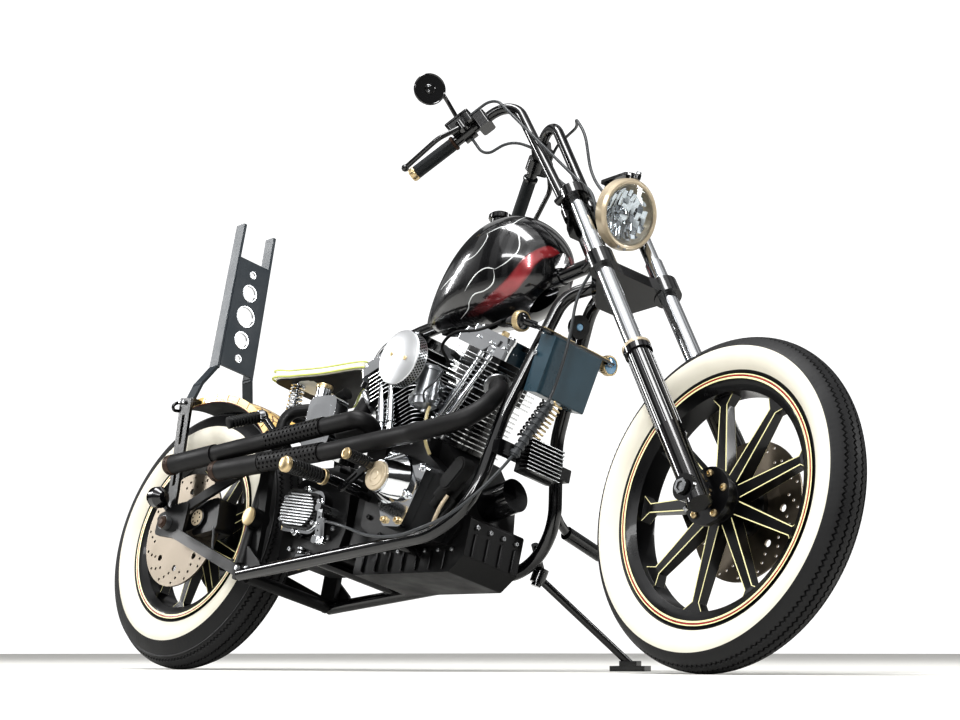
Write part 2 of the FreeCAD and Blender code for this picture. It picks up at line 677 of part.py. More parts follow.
cradle_bars = []
for bar_x, bar_top in ((GEAR_BAR_X, GEAR_FLOOR), (CASE_BAR_X, CASE_FLOOR)):
    bar_z = bar_top - SEAT_GAP - CROSS_R
    cradle_bars.append(rod(at(bar_x, -RAIL_HALF, bar_z), at(bar_x, RAIL_HALF, bar_z), CROSS_R))
pieces["cradle_tubes"] = joined([cradle(-1, TUBE_R), cradle(1, TUBE_R)] + cradle_bars)
cradle_room = [cradle(-1, TUBE_R + SEAT_GAP), cradle(1, TUBE_R + SEAT_GAP)]


def seat_rail(side, radius):
    corner_up = at(RAIL_REAR_X - 6, side * (RAIL_HALF + 1), RAIL_REAR_Z + TUBE_R + 10)
    post_top = at(POST_TOP_X, side * POST_TOP_HALF, POST_TOP_Z)
    rail_in = at(412, side * SEAT_RAIL_HALF, 632)
    rail_end = at(488, side * SEAT_RAIL_HALF, 664)
    return tube([corner_up, post_top, rail_in, rail_end], radius, 40)


def flat_bar(start, end, height):
    return slab((start + end) * 0.5, end - start, UP, (end - start).Length, height, STAY_T, 3)


def rear_side(side):
    corner = at(RAIL_REAR_X, side * RAIL_HALF, RAIL_REAR_Z)
    post = seat_rail(side, TUBE_R)
    stay_y = side * (PLATE_HALF + PLATE_T / 2)
    upper = flat_bar(at(30, stay_y, REAR_R + 30), at(338, side * 106, 505), STAY_H)
    lower = flat_bar(at(30, stay_y, REAR_R - 22), corner + at(-14, -side * 2, 10), STAY_H)
    web = side_plate([
        (350, 198), (402, 204), (394, 330), (378, 440), (356, 520), (330, 520), (346, 400),
        (344, 300)], 4, side * (RAIL_HALF - 22), side * (RAIL_HALF - 8))
    plate = side_plate([
        (-46, REAR_R - 26), (40, REAR_R - 38), (70, REAR_R - 30), (70, REAR_R + 56),
        (30, REAR_R + 52), (-46, REAR_R + 26)], 12, side * PLATE_HALF, side * (PLATE_HALF + PLATE_T))
    gusset = side_plate([
        (RAIL_REAR_X - 26, RAIL_REAR_Z - 12), (RAIL_REAR_X + 80, RAIL_REAR_Z + 2),
        (RAIL_REAR_X + 66, RAIL_REAR_Z + 30), (RAIL_REAR_X + 10, RAIL_REAR_Z + 70),
        (RAIL_REAR_X - 20, RAIL_REAR_Z + 60)], 8, side * (RAIL_HALF - 4), side * (RAIL_HALF + 4))
    pivot = at(RAIL_REAR_X + 6, side * (RAIL_HALF - 26), 326)
    cap = rod(pivot, pivot + LEFT * (side * 44), 24)
    body = joined([post, upper, lower, plate, gusset, cap, web])
    cradle_keep = tube([
        at(RAIL_FRONT_X, side * RAIL_HALF, RAIL_FRONT_Z), corner - at(1, 0, 0.1)],
        TUBE_R + SEAT_GAP, 10)
    axle_hole = rod(
        at(0, side * (PLATE_HALF - 20), REAR_R), at(0, side * (PLATE_HALF + 40), REAR_R),
        AXLE_R + SEAT_GAP)
    return body.cut([cradle_keep, axle_hole])


cross_rear = rod(
    at(RAIL_REAR_X + 6, -RAIL_HALF + TUBE_R, RAIL_REAR_Z),
    at(RAIL_REAR_X + 6, RAIL_HALF - TUBE_R, RAIL_REAR_Z), TUBE_R)
cross_top = rod(
    at(POST_TOP_X, -POST_TOP_HALF, CROSS_TOP_Z), at(POST_TOP_X, POST_TOP_HALF, CROSS_TOP_Z), CROSS_R)
rear_frame = joined([rear_side(-1), rear_side(1), cross_rear, cross_top]).cut(cradle_room)
pieces["rear_frame"] = rear_frame

# Rear axle
REAR_END = PLATE_HALF + PLATE_T + 16.0
rear_axle = rod(REAR_AXLE - LEFT * REAR_END, REAR_AXLE + LEFT * REAR_END, AXLE_R)
rear_collars = []
for side in (-1, 1):
    inner = (-REAR_DISC_Y + 5) if side < 0 else (PULLEY_Y + PULLEY_W + 1)
    rear_collars.append(rod(
        REAR_AXLE + LEFT * (side * inner),
        REAR_AXLE + LEFT * (side * (PLATE_HALF - SEAT_GAP)), AXLE_R + 5))
    rear_collars.append(rod(
        REAR_AXLE + LEFT * (side * (PLATE_HALF + PLATE_T + SEAT_GAP)),
        REAR_AXLE + LEFT * (side * REAR_END), AXLE_R + 7))
pieces["rear_axle"] = joined([rear_axle] + rear_collars)

# Engine
CYL_TILT = math.radians(V_HALF_ANGLE)


def cylinder_axis(side):
    return at(side * math.sin(CYL_TILT), 0, math.cos(CYL_TILT))


def along_cylinder(side, rise, aft=0.0, y=0.0):
    """A point at a height up a cylinder, side 1 the front one, and aft across it."""
    line = cylinder_axis(side)
    across = at(line.z, 0, -line.x)
    return at(CRANK_X, y, CRANK_Z) + line * rise + across * aft


def pushrod_line(side, aft):
    low = at(CRANK_X + side * 72 + aft * 0.9, -98, LIFTER_TOP)
    high = along_cylinder(side, ROCKER_RISE + 6, aft + side * 18, -58)
    return low, high


def finned_cylinder(side):
    line = cylinder_axis(side)
    across = at(line.z, 0, -line.x)
    core = rod(along_cylinder(side, DECK_RISE + SEAT_GAP), along_cylinder(side, ROCKER_RISE), BARREL_R)
    stack = [core]
    rise = DECK_RISE + 14
    while rise < HEAD_RISE - FIN_PITCH / 2:
        stack.append(slab(along_cylinder(side, rise), across, LEFT, FIN_LEN, 2 * FIN_HALF, FIN_T, 26))
        rise += FIN_PITCH
    head_mid = (HEAD_RISE + ROCKER_RISE) / 2
    head_h = ROCKER_RISE - HEAD_RISE
    stack.append(slab(
        along_cylinder(side, head_mid), across, LEFT, FIN_LEN - 16, 2 * FIN_HALF - 12, head_h, 20))
    rise = HEAD_RISE + FIN_T
    while rise < ROCKER_RISE - 12:
        stack.append(slab(
            along_cylinder(side, rise), across, LEFT, FIN_LEN + 14, 2 * FIN_HALF + 14, FIN_T, 18))
        rise += FIN_PITCH
    port = along_cylinder(side, HEAD_RISE + 40, side * 50, -30)
    port_end = along_cylinder(side, HEAD_RISE + 26, side * 92, -52)
    stack.append(rod(port, port_end, 27))
    body = joined(stack)
    notches = []
    for aft in (-17, 17):
        low, high = pushrod_line(side, aft)
        notches.append(rod(low, high, PUSHROD_R + 1.5))
    return body.cut(notches)


front_cylinder = finned_cylinder(1)
rear_cylinder = finned_cylinder(-1)
pieces["cylinders"] = apart([front_cylinder, rear_cylinder])


def rocker_box(side):
    line = cylinder_axis(side)
    across = at(line.z, 0, -line.x)
    low = slab(
        along_cylinder(side, ROCKER_RISE + SEAT_GAP + 11), across, LEFT, ROCKER_LEN,
        2 * ROCKER_HALF, 22, 12)
    middle = slab(
        along_cylinder(side, ROCKER_RISE + SEAT_GAP + 29), across, LEFT, ROCKER_LEN - 14,
        2 * ROCKER_HALF - 12, 16, 14)
    top = slab(
        along_cylinder(side, ROCKER_RISE + SEAT_GAP + 43), across, LEFT, ROCKER_LEN - 34,
        2 * ROCKER_HALF - 34, 14, 16)
    return joined([low, middle, top])


rocker_shape = apart([rocker_box(1), rocker_box(-1)])
pieces["rocker_boxes"] = rocker_shape

deck_half = 62.0


def deck_corner(side, aft):
    point = along_cylinder(side, DECK_RISE, aft)
    return (point.x, point.z)


case_outline = [
    (668, CASE_FLOOR), (1000, CASE_FLOOR), (1030, 300), (1012, 400), deck_corner(1, deck_half),
    deck_corner(1, -deck_half + 4), deck_corner(-1, deck_half - 4), deck_corner(-1, -deck_half),
    (668, 420)]
crankcase = side_plate(case_outline, 10, -CASE_HALF, CASE_HALF)
chest = side_plate([
    (735, 300), (800, 264), (980, 262), (1016, 305), (1000, 402), (900, 470), (790, 486),
    (735, 420)], 14, -CASE_HALF - 34, -CASE_HALF)
lifters = []
for side in (1, -1):
    low, high = pushrod_line(side, 0)
    lifters.append(Part.makeBox(66, 40, 44, at(low.x - 33, -116, LIFTER_TOP - 44)))
sump = side_plate([
    (690, 200), (1010, 200), (1050, 236), (1050, CASE_FLOOR + 66), (1014, CASE_FLOOR + 66),
    (1000, CASE_FLOOR + 4), (690, CASE_FLOOR + 4)], 8, -CASE_HALF + 10, CASE_HALF + 10)
sump_bar = rod(
    at(CASE_BAR_X, -RAIL_HALF, CASE_FLOOR - SEAT_GAP - CROSS_R),
    at(CASE_BAR_X, RAIL_HALF, CASE_FLOOR - SEAT_GAP - CROSS_R), CROSS_R + SEAT_GAP)
crankcase = joined([crankcase, chest, sump] + lifters).cut([sump_bar] + cradle_room)
pieces["crankcase"] = crankcase

pushrods = []
for side in (1, -1):
    for aft in (-17, 17):
        low, high = pushrod_line(side, aft)
        line = (high - low).normalize()
        pushrods.append(rod(low - line * 4, high, PUSHROD_R).cut([crankcase, rocker_shape]))
pieces["pushrod_tubes"] = apart(pushrods)

COVER_IN = CASE_HALF + 34 + SEAT_GAP
cover = side_plate([
    (825, 468), (955, 424), (905, 284), (842, 288), (772, 420)], 16, -COVER_IN - 26, -COVER_IN)
nose = taper(at(845, -COVER_IN - 20, 396), at(840, -COVER_IN - 62, 391), 62, 38)
button = rod(at(840, -COVER_IN - 61, 391), at(840, -COVER_IN - 70, 391), 34)
pieces["cam_cover"] = joined([cover, nose, button])

# Ignition coil in its rubber cover, on a slotted bracket beside the front cylinder
COIL_Y = -COVER_IN - 16
coil_up = at(0.67, 0, 0.742)
coil_across = at(-0.742, 0, 0.67)
COIL_AT = at(1046, COIL_Y, 398)
coil_base = COIL_AT - coil_up * 36
coil_boot = rod(coil_base, coil_base - coil_up * 30, 15)
coil_tail = rod(coil_base - coil_up * 28, coil_base - coil_up * 54, 9)
coil_puck = slab(COIL_AT, coil_up, coil_across, 84, 40, 30, 19)
coil_ridge = slab(COIL_AT - LEFT * 15, coil_up, coil_across, 76, 32, 6, 15)
tab_y = -CASE_HALF - 34 - SEAT_GAP - 2.5
coil_tab = slab(at(1022, tab_y, 362), coil_up, coil_across, 84, 40, 5, 4)
link = slab(at(1012, tab_y - 4, 316), coil_up, coil_across, 84, 15, 4, 6)
link_slot = slab(at(1017, tab_y - 4, 322), coil_up, coil_across, 48, 6, 10, 2.5)
coil = joined([coil_puck, coil_ridge, coil_boot, coil_tail, coil_tab, link]).cut([link_slot])
pieces["ignition_coil"] = coil.cut([crankcase] + cradle_room)

# Carburettor and air cleaner
CARB = at(896, -142, 612)
AIR_AT = at(866, -204, 657)
AIR_R = 63.0
carb_body = rod(CARB + at(0, 0, -26), CARB + at(0, 0, 34), 25)
carb_top = turned([
    (0.0, 34), (29, 34), (29, 40), (22, 46), (8, 50), (0.0, 50)], CARB, UP)
throat = rod(at(852, -60, 622), AIR_AT + LEFT * 12, 22)
bowl = turned([
    (0.0, -60), (7, -60), (7, -54), (16, -52), (26, -44), (27, -28), (31, -28), (31, -22),
    (0.0, -22)], CARB + at(-2, 6, 0), UP)
pump = rod(CARB + at(34, -6, -40), CARB + at(34, -6, 8), 8)
pump_arm = slab(CARB + at(22, -4, -26), at(1, 0, 0), LEFT, 40, 16, 8, 3)
elbow = rod(at(CRANK_X, -20, 604), at(CRANK_X, -96, 604), 19)
elbow_out = rod(at(CRANK_X, -94, 604), CARB, 19)
air_cleaner = turned([
    (0.0, 0), (AIR_R - 3, 0), (AIR_R, 3), (AIR_R, 28), (AIR_R - 8, 31), (0.0, 31)],
    AIR_AT - LEFT * 12, LEFT)
carburettor = joined([carb_body, carb_top, throat, bowl, pump, pump_arm, elbow, elbow_out])
pieces["carburettor"] = carburettor.cut([front_cylinder, rear_cylinder, air_cleaner])
pieces["air_cleaner"] = air_cleaner

# Exhaust
PIPE_R = 21.0
SLEEVE_R = 24.0
PIPE_Y = -190.0
front_port = along_cylinder(1, HEAD_RISE + 26, 94, -53)
front_run = [
    front_port, front_port + at(42, -26, -22), at(1090, -156, 520), at(960, -200, 478),
    at(663, PIPE_Y, 458), at(241, PIPE_Y, 434)]
rear_port = along_cylinder(-1, HEAD_RISE + 26, -94, -53)
rear_run = [
    rear_port, at(576, -62, 590), at(612, -128, 520), at(745, -138, 518), at(745, PIPE_Y, 531),
    at(45, PIPE_Y, 461)]


def pipe(points, bend):
    header = tube(points, PIPE_R, bend)
    last = points[-1]
    before = points[-2]
    line = (before - last).normalize()
    sleeve = rod(last, last + line * 180, SLEEVE_R)
    hollow = rod(last - line, last + line * 120, PIPE_R - 3)
    return joined([header, sleeve]).cut(hollow)


pieces["exhaust_pipes"] = apart([
    pipe(front_run, 80).cut(front_cylinder), pipe(rear_run, 26).cut(rear_cylinder)])

SHIELD_T = 2.5
SHIELD_COLUMNS = 14
SHIELD_HOLE_R = 3.2


def shield(points, start_x, end_x):
    last = points[-1]
    before = points[-2]
    line = (before - last)
    low = last + line * ((start_x - last.x) / line.x)
    high = last + line * ((end_x - last.x) / line.x)
    wall = rod(low, high, PIPE_R + SEAT_GAP + SHIELD_T).cut(rod(
        low - line * 0.1, high + line * 0.1, PIPE_R + SEAT_GAP))
    keep = Part.makeBox(400, 60, 200, at(low.x - 60, PIPE_Y - 60, low.z - 80))
    along = (high - low).normalize()
    holes = []
    for column in range(SHIELD_COLUMNS):
        middle = low + (high - low) * ((column + 0.5) / SHIELD_COLUMNS)
        for row in (-52, -26, 0, 26, 52):
            outward = FreeCAD.Rotation(along, row).multVec(LEFT * -1)
            spot = middle + outward * PIPE_R + along * (3 if row in (-26, 26) else -3)
            holes.append(rod(spot, spot + outward * 12, SHIELD_HOLE_R))
    return wall.common(keep).cut(holes)


pieces["heat_shields"] = apart([
    shield(front_run, 424, 636), shield(rear_run, 430, 622)])

# Transmission, primary drive and belt
GEAR_HALF = 92.0
GEAR_LEFT = 60.0
gearbox = side_plate([
    (430, GEAR_FLOOR), (640, GEAR_FLOOR), (655, 300), (640, 430), (560, 452), (450, 430), (424, 330)],
    18, -GEAR_HALF, GEAR_LEFT)
COVER_AT = at(511, -GEAR_HALF, 346)
cover_u = at(0.985, 0, -0.12)
cover_v = at(0.12, 0, 0.985)
COVER_RIBS = 9
cover_parts = [
    slab(COVER_AT - LEFT * 10, cover_u, cover_v, 150, 104, 30, 30),
    slab(COVER_AT - LEFT * 20, cover_u, cover_v, 134, 88, 24, 28)]
for i in range(COVER_RIBS):
    rise = (i - (COVER_RIBS - 1) / 2) * 8.5
    width = 118 - 0.034 * rise * rise
    cover_parts.append(slab(
        COVER_AT - LEFT * 33 + cover_v * rise, cover_u, cover_v, width, 3.5, 4, 1))
for i in range(6):
    angle = math.radians(30 + 60 * i)
    lobe = COVER_AT + cover_u * (72 * math.cos(angle)) + cover_v * (52 * math.sin(angle))
    cover_parts.append(rod(lobe, lobe - LEFT * 27, 8))
side_cover = joined(cover_parts)
lid = side_plate([(452, 430), (600, 430), (580, 470), (470, 470)], 10, -60, 60)
PRIMARY_IN = CASE_HALF + 12.0
primary = side_plate([
    (790, 262), (860, 268), (908, 345), (860, 424), (790, 428), (520, 452), (430, 430),
    (418, 340), (430, 268), (520, 250)], 50, PRIMARY_IN, PRIMARY_IN + 62)
case_joint = side_plate([
    (700, 272), (870, 276), (880, 345), (850, 416), (700, 420)], 20, CASE_HALF + SEAT_GAP, PRIMARY_IN)
PRIMARY_OUT = PRIMARY_IN + 62
clutch_lid = rod(at(520, PRIMARY_OUT - 1, 352), at(520, PRIMARY_OUT + 8, 352), 64)
clutch_step = rod(at(520, PRIMARY_OUT + 7, 352), at(520, PRIMARY_OUT + 12, 352), 50)
inspection = slab(at(690, PRIMARY_OUT + 2, 350), at(1, 0, 0), UP, 130, 58, 8, 26)
engine_end = rod(at(812, PRIMARY_OUT - 1, 345), at(812, PRIMARY_OUT + 7, 345), 50)
primary_parts = [primary, case_joint, clutch_lid, clutch_step, inspection, engine_end]
pieces["primary_cover"] = joined(primary_parts)
BELT_Y = PULLEY_Y + 4
BELT_W = 20.0
DRIVE_R = 42.0
GEAR_AXIS = at(500, 0, 350)
sprocket = rod(GEAR_AXIS + LEFT * (GEAR_LEFT - 2), GEAR_AXIS + LEFT * (BELT_Y + BELT_W), DRIVE_R)
lid_rim = side_plate([(446, 428), (606, 428), (606, 436), (446, 436)], 2, -66, 66)
breather = rod(at(560, -58, 452), at(560, -82, 452), 14)
pieces["transmission"] = joined([gearbox, side_cover, lid, lid_rim, breather, sprocket])
SHAFT_AT = at(609, 0, 342)
arm_y = -GEAR_HALF - 46
shaft = rod(
    SHAFT_AT - LEFT * (GEAR_HALF + SEAT_GAP), SHAFT_AT - LEFT * (GEAR_HALF + 56), 10)
arm_low = at(622, arm_y, 264)
arm_high = at(643, arm_y - 8, 306)
arm_toe = at(650, arm_y - 4, 260)
swing_arm = slab(
    (SHAFT_AT + LEFT * arm_y + arm_low) * 0.5, SHAFT_AT + LEFT * arm_y - arm_low, at(1, 0, 0.1),
    98, 18, 6, 8)
foot_pin = rod(arm_low + LEFT * 6, arm_low - LEFT * 12, 10)
toe = slab((arm_low + arm_toe) * 0.5 - LEFT * 4, arm_toe - arm_low, UP, 46, 16, 8, 6)
toe_arm = slab(
    (arm_toe + arm_high) * 0.5 - LEFT * 4, arm_high - arm_toe, at(1, 0, 0), 60, 15, 7, 6)
link_holes = []
for part_way in (0.3, 0.5, 0.7):
    spot = SHAFT_AT + LEFT * arm_y + (arm_low - SHAFT_AT - LEFT * arm_y) * part_way
    link_holes.append(rod(spot - LEFT * 8, spot + LEFT * 8, 3.2))
linkage = joined([shaft, swing_arm, foot_pin, toe, toe_arm]).cut(link_holes)
pieces["clutch_linkage"] = linkage


def belt_loop(grow):
    """The outline round both pulleys, as two half circles and two straight runs."""
    span = GEAR_AXIS - REAR_AXLE
    big = PULLEY_R + grow
    small = DRIVE_R + grow
    tilt = math.atan2(span.z, span.x)
    lean = math.acos((big - small) / math.hypot(span.x, span.z))

    def rim(centre, radius, angle):
        return at(centre.x + radius * math.cos(angle), BELT_Y, centre.z + radius * math.sin(angle))

    up_angle = tilt + lean
    low_angle = tilt - lean
    edges = [
        Part.Arc(
            rim(REAR_AXLE, big, up_angle), rim(REAR_AXLE, big, tilt + math.pi),
            rim(REAR_AXLE, big, low_angle)).toShape(),
        Part.LineSegment(
            rim(REAR_AXLE, big, low_angle), rim(GEAR_AXIS, small, low_angle)).toShape(),
        Part.Arc(
            rim(GEAR_AXIS, small, low_angle), rim(GEAR_AXIS, small, tilt),
            rim(GEAR_AXIS, small, up_angle)).toShape(),
        Part.LineSegment(
            rim(GEAR_AXIS, small, up_angle), rim(REAR_AXLE, big, up_angle)).toShape(),
    ]
    return Part.Face(Part.Wire(edges))


belt_outer = belt_loop(SEAT_GAP + BELT_T).extrude(LEFT * BELT_W)
belt_inner = belt_loop(SEAT_GAP).extrude(LEFT * BELT_W)
pieces["drive_belt"] = belt_outer.cut(belt_inner)

# Fuel tank
TANK_SECTIONS = [
    (688, 822, 838, 12), (730, 808, 890, 46), (790, 804, 968, 82), (870, 806, 1044, 107),
    (950, 810, 1066, 112), (1020, 826, 1046, 98), (1072, 858, 1002, 66), (1098, 900, 962, 24)]


def tank_ring(x, low, high, half):
    mid = (low + high) / 2
    points = [
        at(x, 0, low), at(x, half * 0.72, low + (mid - low) * 0.25), at(x, half, mid),
        at(x, half * 0.72, high - (high - mid) * 0.25), at(x, 0, high),
        at(x, -half * 0.72, high - (high - mid) * 0.25), at(x, -half, mid),
        at(x, -half * 0.72, low + (mid - low) * 0.25)]
    curve = Part.BSplineCurve()
    curve.interpolate(points, PeriodicFlag=True)
    return Part.Wire(curve.toShape())


tank = Part.makeLoft([tank_ring(*section) for section in TANK_SECTIONS], True, False)
tunnel = tube(BACKBONE[:3], BACKBONE_R + TUNNEL_ROOM, 60)
tunnel_low = tube([p - at(0, 0, 40) for p in BACKBONE[:3]], BACKBONE_R + TUNNEL_ROOM, 60)
pieces["fuel_tank"] = tank.cut([tunnel, tunnel_low])
CAP_AT = at(860, 0, 1050)
cap = turned([
    (0.0, -30), (27, -30), (29, 8), (29, 12), (22, 16), (22, 26), (27, 29), (27, 40), (22, 44),
    (0.0, 44)], CAP_AT, at(-0.12, 0, 1))
pieces["fuel_cap"] = cap.cut(tank)

# Oil tank under the seat
oil = side_plate([(430, 508), (528, 508), (536, 560), (532, 636), (430, 640)], 22, -104, 104)
notch = side_plate([(400, 600), (560, 600), (560, 700), (400, 700)], 2, -66, 66)
oil_cap = rod(at(450, -85, 630), at(450, -85, 668), 18)
oil_lugs = []
rail_room = []
for side in (-1, 1):
    lug_foot = at(470, side * SEAT_RAIL_HALF, 598)
    oil_lugs.append(rod(lug_foot, lug_foot + UP * 52, 8))
    rail_room.append(seat_rail(side, TUBE_R + SEAT_GAP))
pieces["oil_tank"] = joined([oil.cut(notch), oil_cap] + oil_lugs).cut(rail_room)

# Oil filter, regulator and the box of electrics between the down tubes
pieces["oil_filter"] = rod(at(1008, 0, 369), at(1096, 0, 392), 38).cut(crankcase)
REG_AT = at(HEAD_X - 125, 0, 468)
regulator = slab(REG_AT, LEFT, at(0.1, 0, 1), 104, 82, 12, 3)
reg_fins = []
for i in range(9):
    reg_fins.append(slab(
        REG_AT + at(14, 0, -34 + 8.5 * i), LEFT, at(1, 0, 0), 104, 28, 3, 0.5))
reg_bracket = slab(REG_AT - at(15, 0, 0), LEFT, UP, 224, 30, 20, 3)
pieces["regulator"] = joined([regulator, reg_bracket] + reg_fins).cut(cradle_room)
BOX_HALF = 74.0
BOX_X = HEAD_X - 109.0
box_face = side_plate([
    (BOX_X, 737), (BOX_X + 49, 725), (BOX_X + 20, 598), (BOX_X - 22, 606)], 4, -BOX_HALF, BOX_HALF)
pieces["electrics_box"] = box_face.cut(cradle_room)
signal_bar = slab(at(BOX_X + 26, 0, 734.2), LEFT, at(1, 0, -0.245), 250, 26, 5, 3)
horn_post = rod(at(BOX_X + 24, 0, 735), at(BOX_X + 18, 0, 779), 6)
signals = [signal_bar, horn_post]
for side in (-1, 1):
    stalk = rod(at(BOX_X + 22, side * 112, 738), at(BOX_X + 6, side * 138, 740), 8)
    shell = taper(at(BOX_X - 38, side * 141, 742), at(BOX_X - 6, side * 141, 740), 9, 21)
    ring = rod(at(BOX_X - 6, side * 141, 740), at(BOX_X + 8, side * 141, 739), 22)
    signals.extend([stalk, shell, ring])
horn = turned([
    (0.0, 0), (16, 0), (26, 12), (26, 22), (12, 22), (8, 16), (0.0, 16)],
    at(BOX_X + 18, 0, 778), at(0.95, -0.1, -0.2).normalize())
pieces["horn"] = horn.cut(horn_post)

# Seat and its springs
seat_outline = [
    at(486, -26, 738), at(486, 26, 738), at(400, 66, 716), at(320, 112, 700), at(262, 104, 696),
    at(250, 0, 696), at(262, -104, 696), at(320, -112, 700), at(400, -66, 716)]
SEAT_T = 22.0
seat_curve = Part.BSplineCurve()
seat_curve.interpolate([at(p.x, p.y, 0) for p in seat_outline], PeriodicFlag=True)
seat_face = Part.Face(Part.Wire(seat_curve.toShape()))
seat_block = seat_face.extrude(at(0, 0, 900))
seat_side = [(230, 694), (330, 694), (520, 742), (520, 742 + SEAT_T), (330, 694 + SEAT_T),
             (230, 694 + SEAT_T + 14)]
seat_band = side_plate(seat_side, 3, -160, 160)
pieces["seat"] = seat_block.common(seat_band)
springs = []
for side in (-1, 1):
    base = at(POST_TOP_X - 16, side * 62, CROSS_TOP_Z + CROSS_R + SEAT_GAP)
    springs.append(rod(base, at(base.x, base.y, 694 - SEAT_GAP), 19))
pieces["seat_springs"] = apart(springs)

# Rear fender, struts and sissy bar
FENDER_R = REAR_R + 22.0
FENDER_TOP = REAR_R + 343.0
FENDER_HALF = 78.0
FENDER_T = 2.5


def fender_section(grow):
    outer = FENDER_R + grow
    return [
        at(outer - 16, 0, FENDER_HALF + grow), at(outer - 6, 0, FENDER_HALF - 16 + grow),
        at(outer, 0, 0), at(outer - 6, 0, -FENDER_HALF + 16 - grow),
        at(outer - 16, 0, -FENDER_HALF - grow)]


outer_line = fender_section(FENDER_T)
inner_line = fender_section(0)
outer_arc = Part.Arc(outer_line[0], outer_line[2], outer_line[4]).toShape()
inner_arc = Part.Arc(inner_line[4], inner_line[2], inner_line[0]).toShape()
fender_wire = Part.Wire([
    outer_arc, Part.LineSegment(outer_line[4], inner_line[4]).toShape(), inner_arc,
    Part.LineSegment(inner_line[0], outer_line[0]).toShape()])
FENDER_FROM = 44.0
FENDER_TO = 108.0
fender = Part.Face(fender_wire).revolve(at(0, 0, 0), at(0, 0, 1), -(FENDER_TO - FENDER_FROM))
fender.Placement = FreeCAD.Placement(REAR_AXLE, FreeCAD.Rotation(at(0, 0, 1), LEFT))
fender_mid = fender.CenterOfMass - REAR_AXLE
want = math.radians((FENDER_FROM + FENDER_TO) / 2)
have = math.atan2(fender_mid.z, fender_mid.x)
fender.rotate(REAR_AXLE, at(0, -1, 0), math.degrees(want - have))
pieces["rear_fender"] = fender


def strut(side):
    y = side * 106
    bar = Part.Face(rounded([
        at(-96, y, FENDER_TOP), at(-48, y, FENDER_TOP - 4), at(-4, y, REAR_R + 42),
        at(-34, y, REAR_R + 20)],
        4, True)).extrude(LEFT * (side * 8))
    slots = []
    for low, high in ((0.12, 0.4), (0.5, 0.78)):
        top = at(-70, y, FENDER_TOP - 12)
        foot_at = at(-22, y, REAR_R + 40)
        a = top + (foot_at - top) * low
        b = top + (foot_at - top) * high
        slots.append(slab(
            (a + b) * 0.5 + LEFT * (side * 4), b - a, at(1, 0, 0.15), (b - a).Length, 11, 20, 5))
    tab = Part.makeBox(44, 30, 7, at(-92, min(side * 79, side * 109), FENDER_TOP - 8))
    return joined([bar.cut(slots), tab]).cut(fender)


pieces["fender_struts"] = apart([strut(-1), strut(1)])


def sissy_side(side):
    leg = [
        at(-83, side * 92, FENDER_TOP), at(-79, side * 82, FENDER_TOP + 46),
        at(-67, side * 55, FENDER_TOP + 103), at(-106, side * 50, FENDER_TOP + 502)]
    bars = []
    for a, b in zip(leg, leg[1:]):
        line = b - a
        bars.append(slab((a + b) * 0.5, line, at(1, 0, 0.12), line.Length + 10, 34, 8, 3))
    return joined(bars)


PLATE_AT = at(-67, 0, FENDER_TOP + 262)
plate_up = at(-0.098, 0, 1).normalize()
sissy_plate = slab(PLATE_AT, LEFT, plate_up, 104, 306, 6, 4)
holes = []
for rise, radius in ((-118, 9), (-66, 20), (0, 26), (66, 20), (118, 9)):
    spot = PLATE_AT + plate_up * rise
    holes.append(rod(spot - at(30, 0, 3), spot + at(30, 0, 3), radius))
sissy = joined([sissy_side(-1), sissy_side(1), sissy_plate]).cut(holes)
pieces["sissy_bar"] = sissy.cut(pieces["fender_struts"].Solids)

# Foot controls, pegs and stand
right_peg = rod(at(686, -207, 388), at(687, -325, 381), 17)
peg_arm = rod(at(689, -CASE_HALF - SEAT_GAP, 388), at(686, -212, 388), 12)
brake_pad = rod(at(821, -195, 416), at(825, -270, 415), 13)
PEDAL_Y = -COVER_IN - 79
pedal_low = at(744, PEDAL_Y, 366)
pedal_high = at(820, PEDAL_Y, 416)
pedal_arm = slab((pedal_low + pedal_high) * 0.5, pedal_high - pedal_low, UP, 112, 21, 8, 9)
pedal_slot = slab(pedal_low + (pedal_high - pedal_low) * 0.36, pedal_high - pedal_low, UP, 38, 8, 20, 3)
pedal_shaft = rod(pedal_low - LEFT * 6, at(744, -CASE_HALF - 34 - SEAT_GAP, 366), 9)
left_peg_in = at(RAIL_FRONT_X - 50, 205, 372)
left_peg = rod(left_peg_in, left_peg_in + at(0, 115, -16), 16)
right_foot = joined([right_peg, peg_arm])
brake_pedal = joined([brake_pad, pedal_arm.cut(pedal_slot), pedal_shaft])
left_arm = tube([
    left_peg_in + at(38, -89, 28), left_peg_in + at(16, -40, 10), left_peg_in + LEFT * 2], 10, 30)
left_foot = joined([left_peg, left_arm])
pieces["foot_controls"] = apart([right_foot, brake_pedal, left_foot.cut(cradle_room[1])])
passenger = []
for side in (-1, 1):
    root = at(322, side * 112, 560)
    joint = at(300, side * 134, 590)
    tip = at(276, side * 212, 546)
    passenger.append(joined([rod(root, joint, 9), Part.makeSphere(13, joint), rod(joint, tip, 14)]))
pieces["passenger_pegs"] = apart([peg.cut(rear_frame) for peg in passenger])

rear_caliper = caliper(
    REAR_AXLE, REAR_DISC_Y, at(118, 0, REAR_R + 22), at(90, 0, REAR_R + 18), at(-0.15, 0, 1), 84, 96)
BRACKET_OUT = PLATE_HALF - 8.6
BRACKET_T = 8.0
bracket = side_plate([
    (-20, REAR_R - 16), (22, REAR_R - 22), (100, REAR_R - 8), (104, REAR_R + 40),
    (20, REAR_R + 20)], 8, -BRACKET_OUT, -BRACKET_OUT + BRACKET_T)
bracket = bracket.cut(rod(
    at(0, -PLATE_HALF - 20, REAR_R), at(0, -PLATE_HALF + 40, REAR_R), AXLE_R + 5 + SEAT_GAP))
pieces["rear_caliper"] = joined([rear_caliper, bracket])

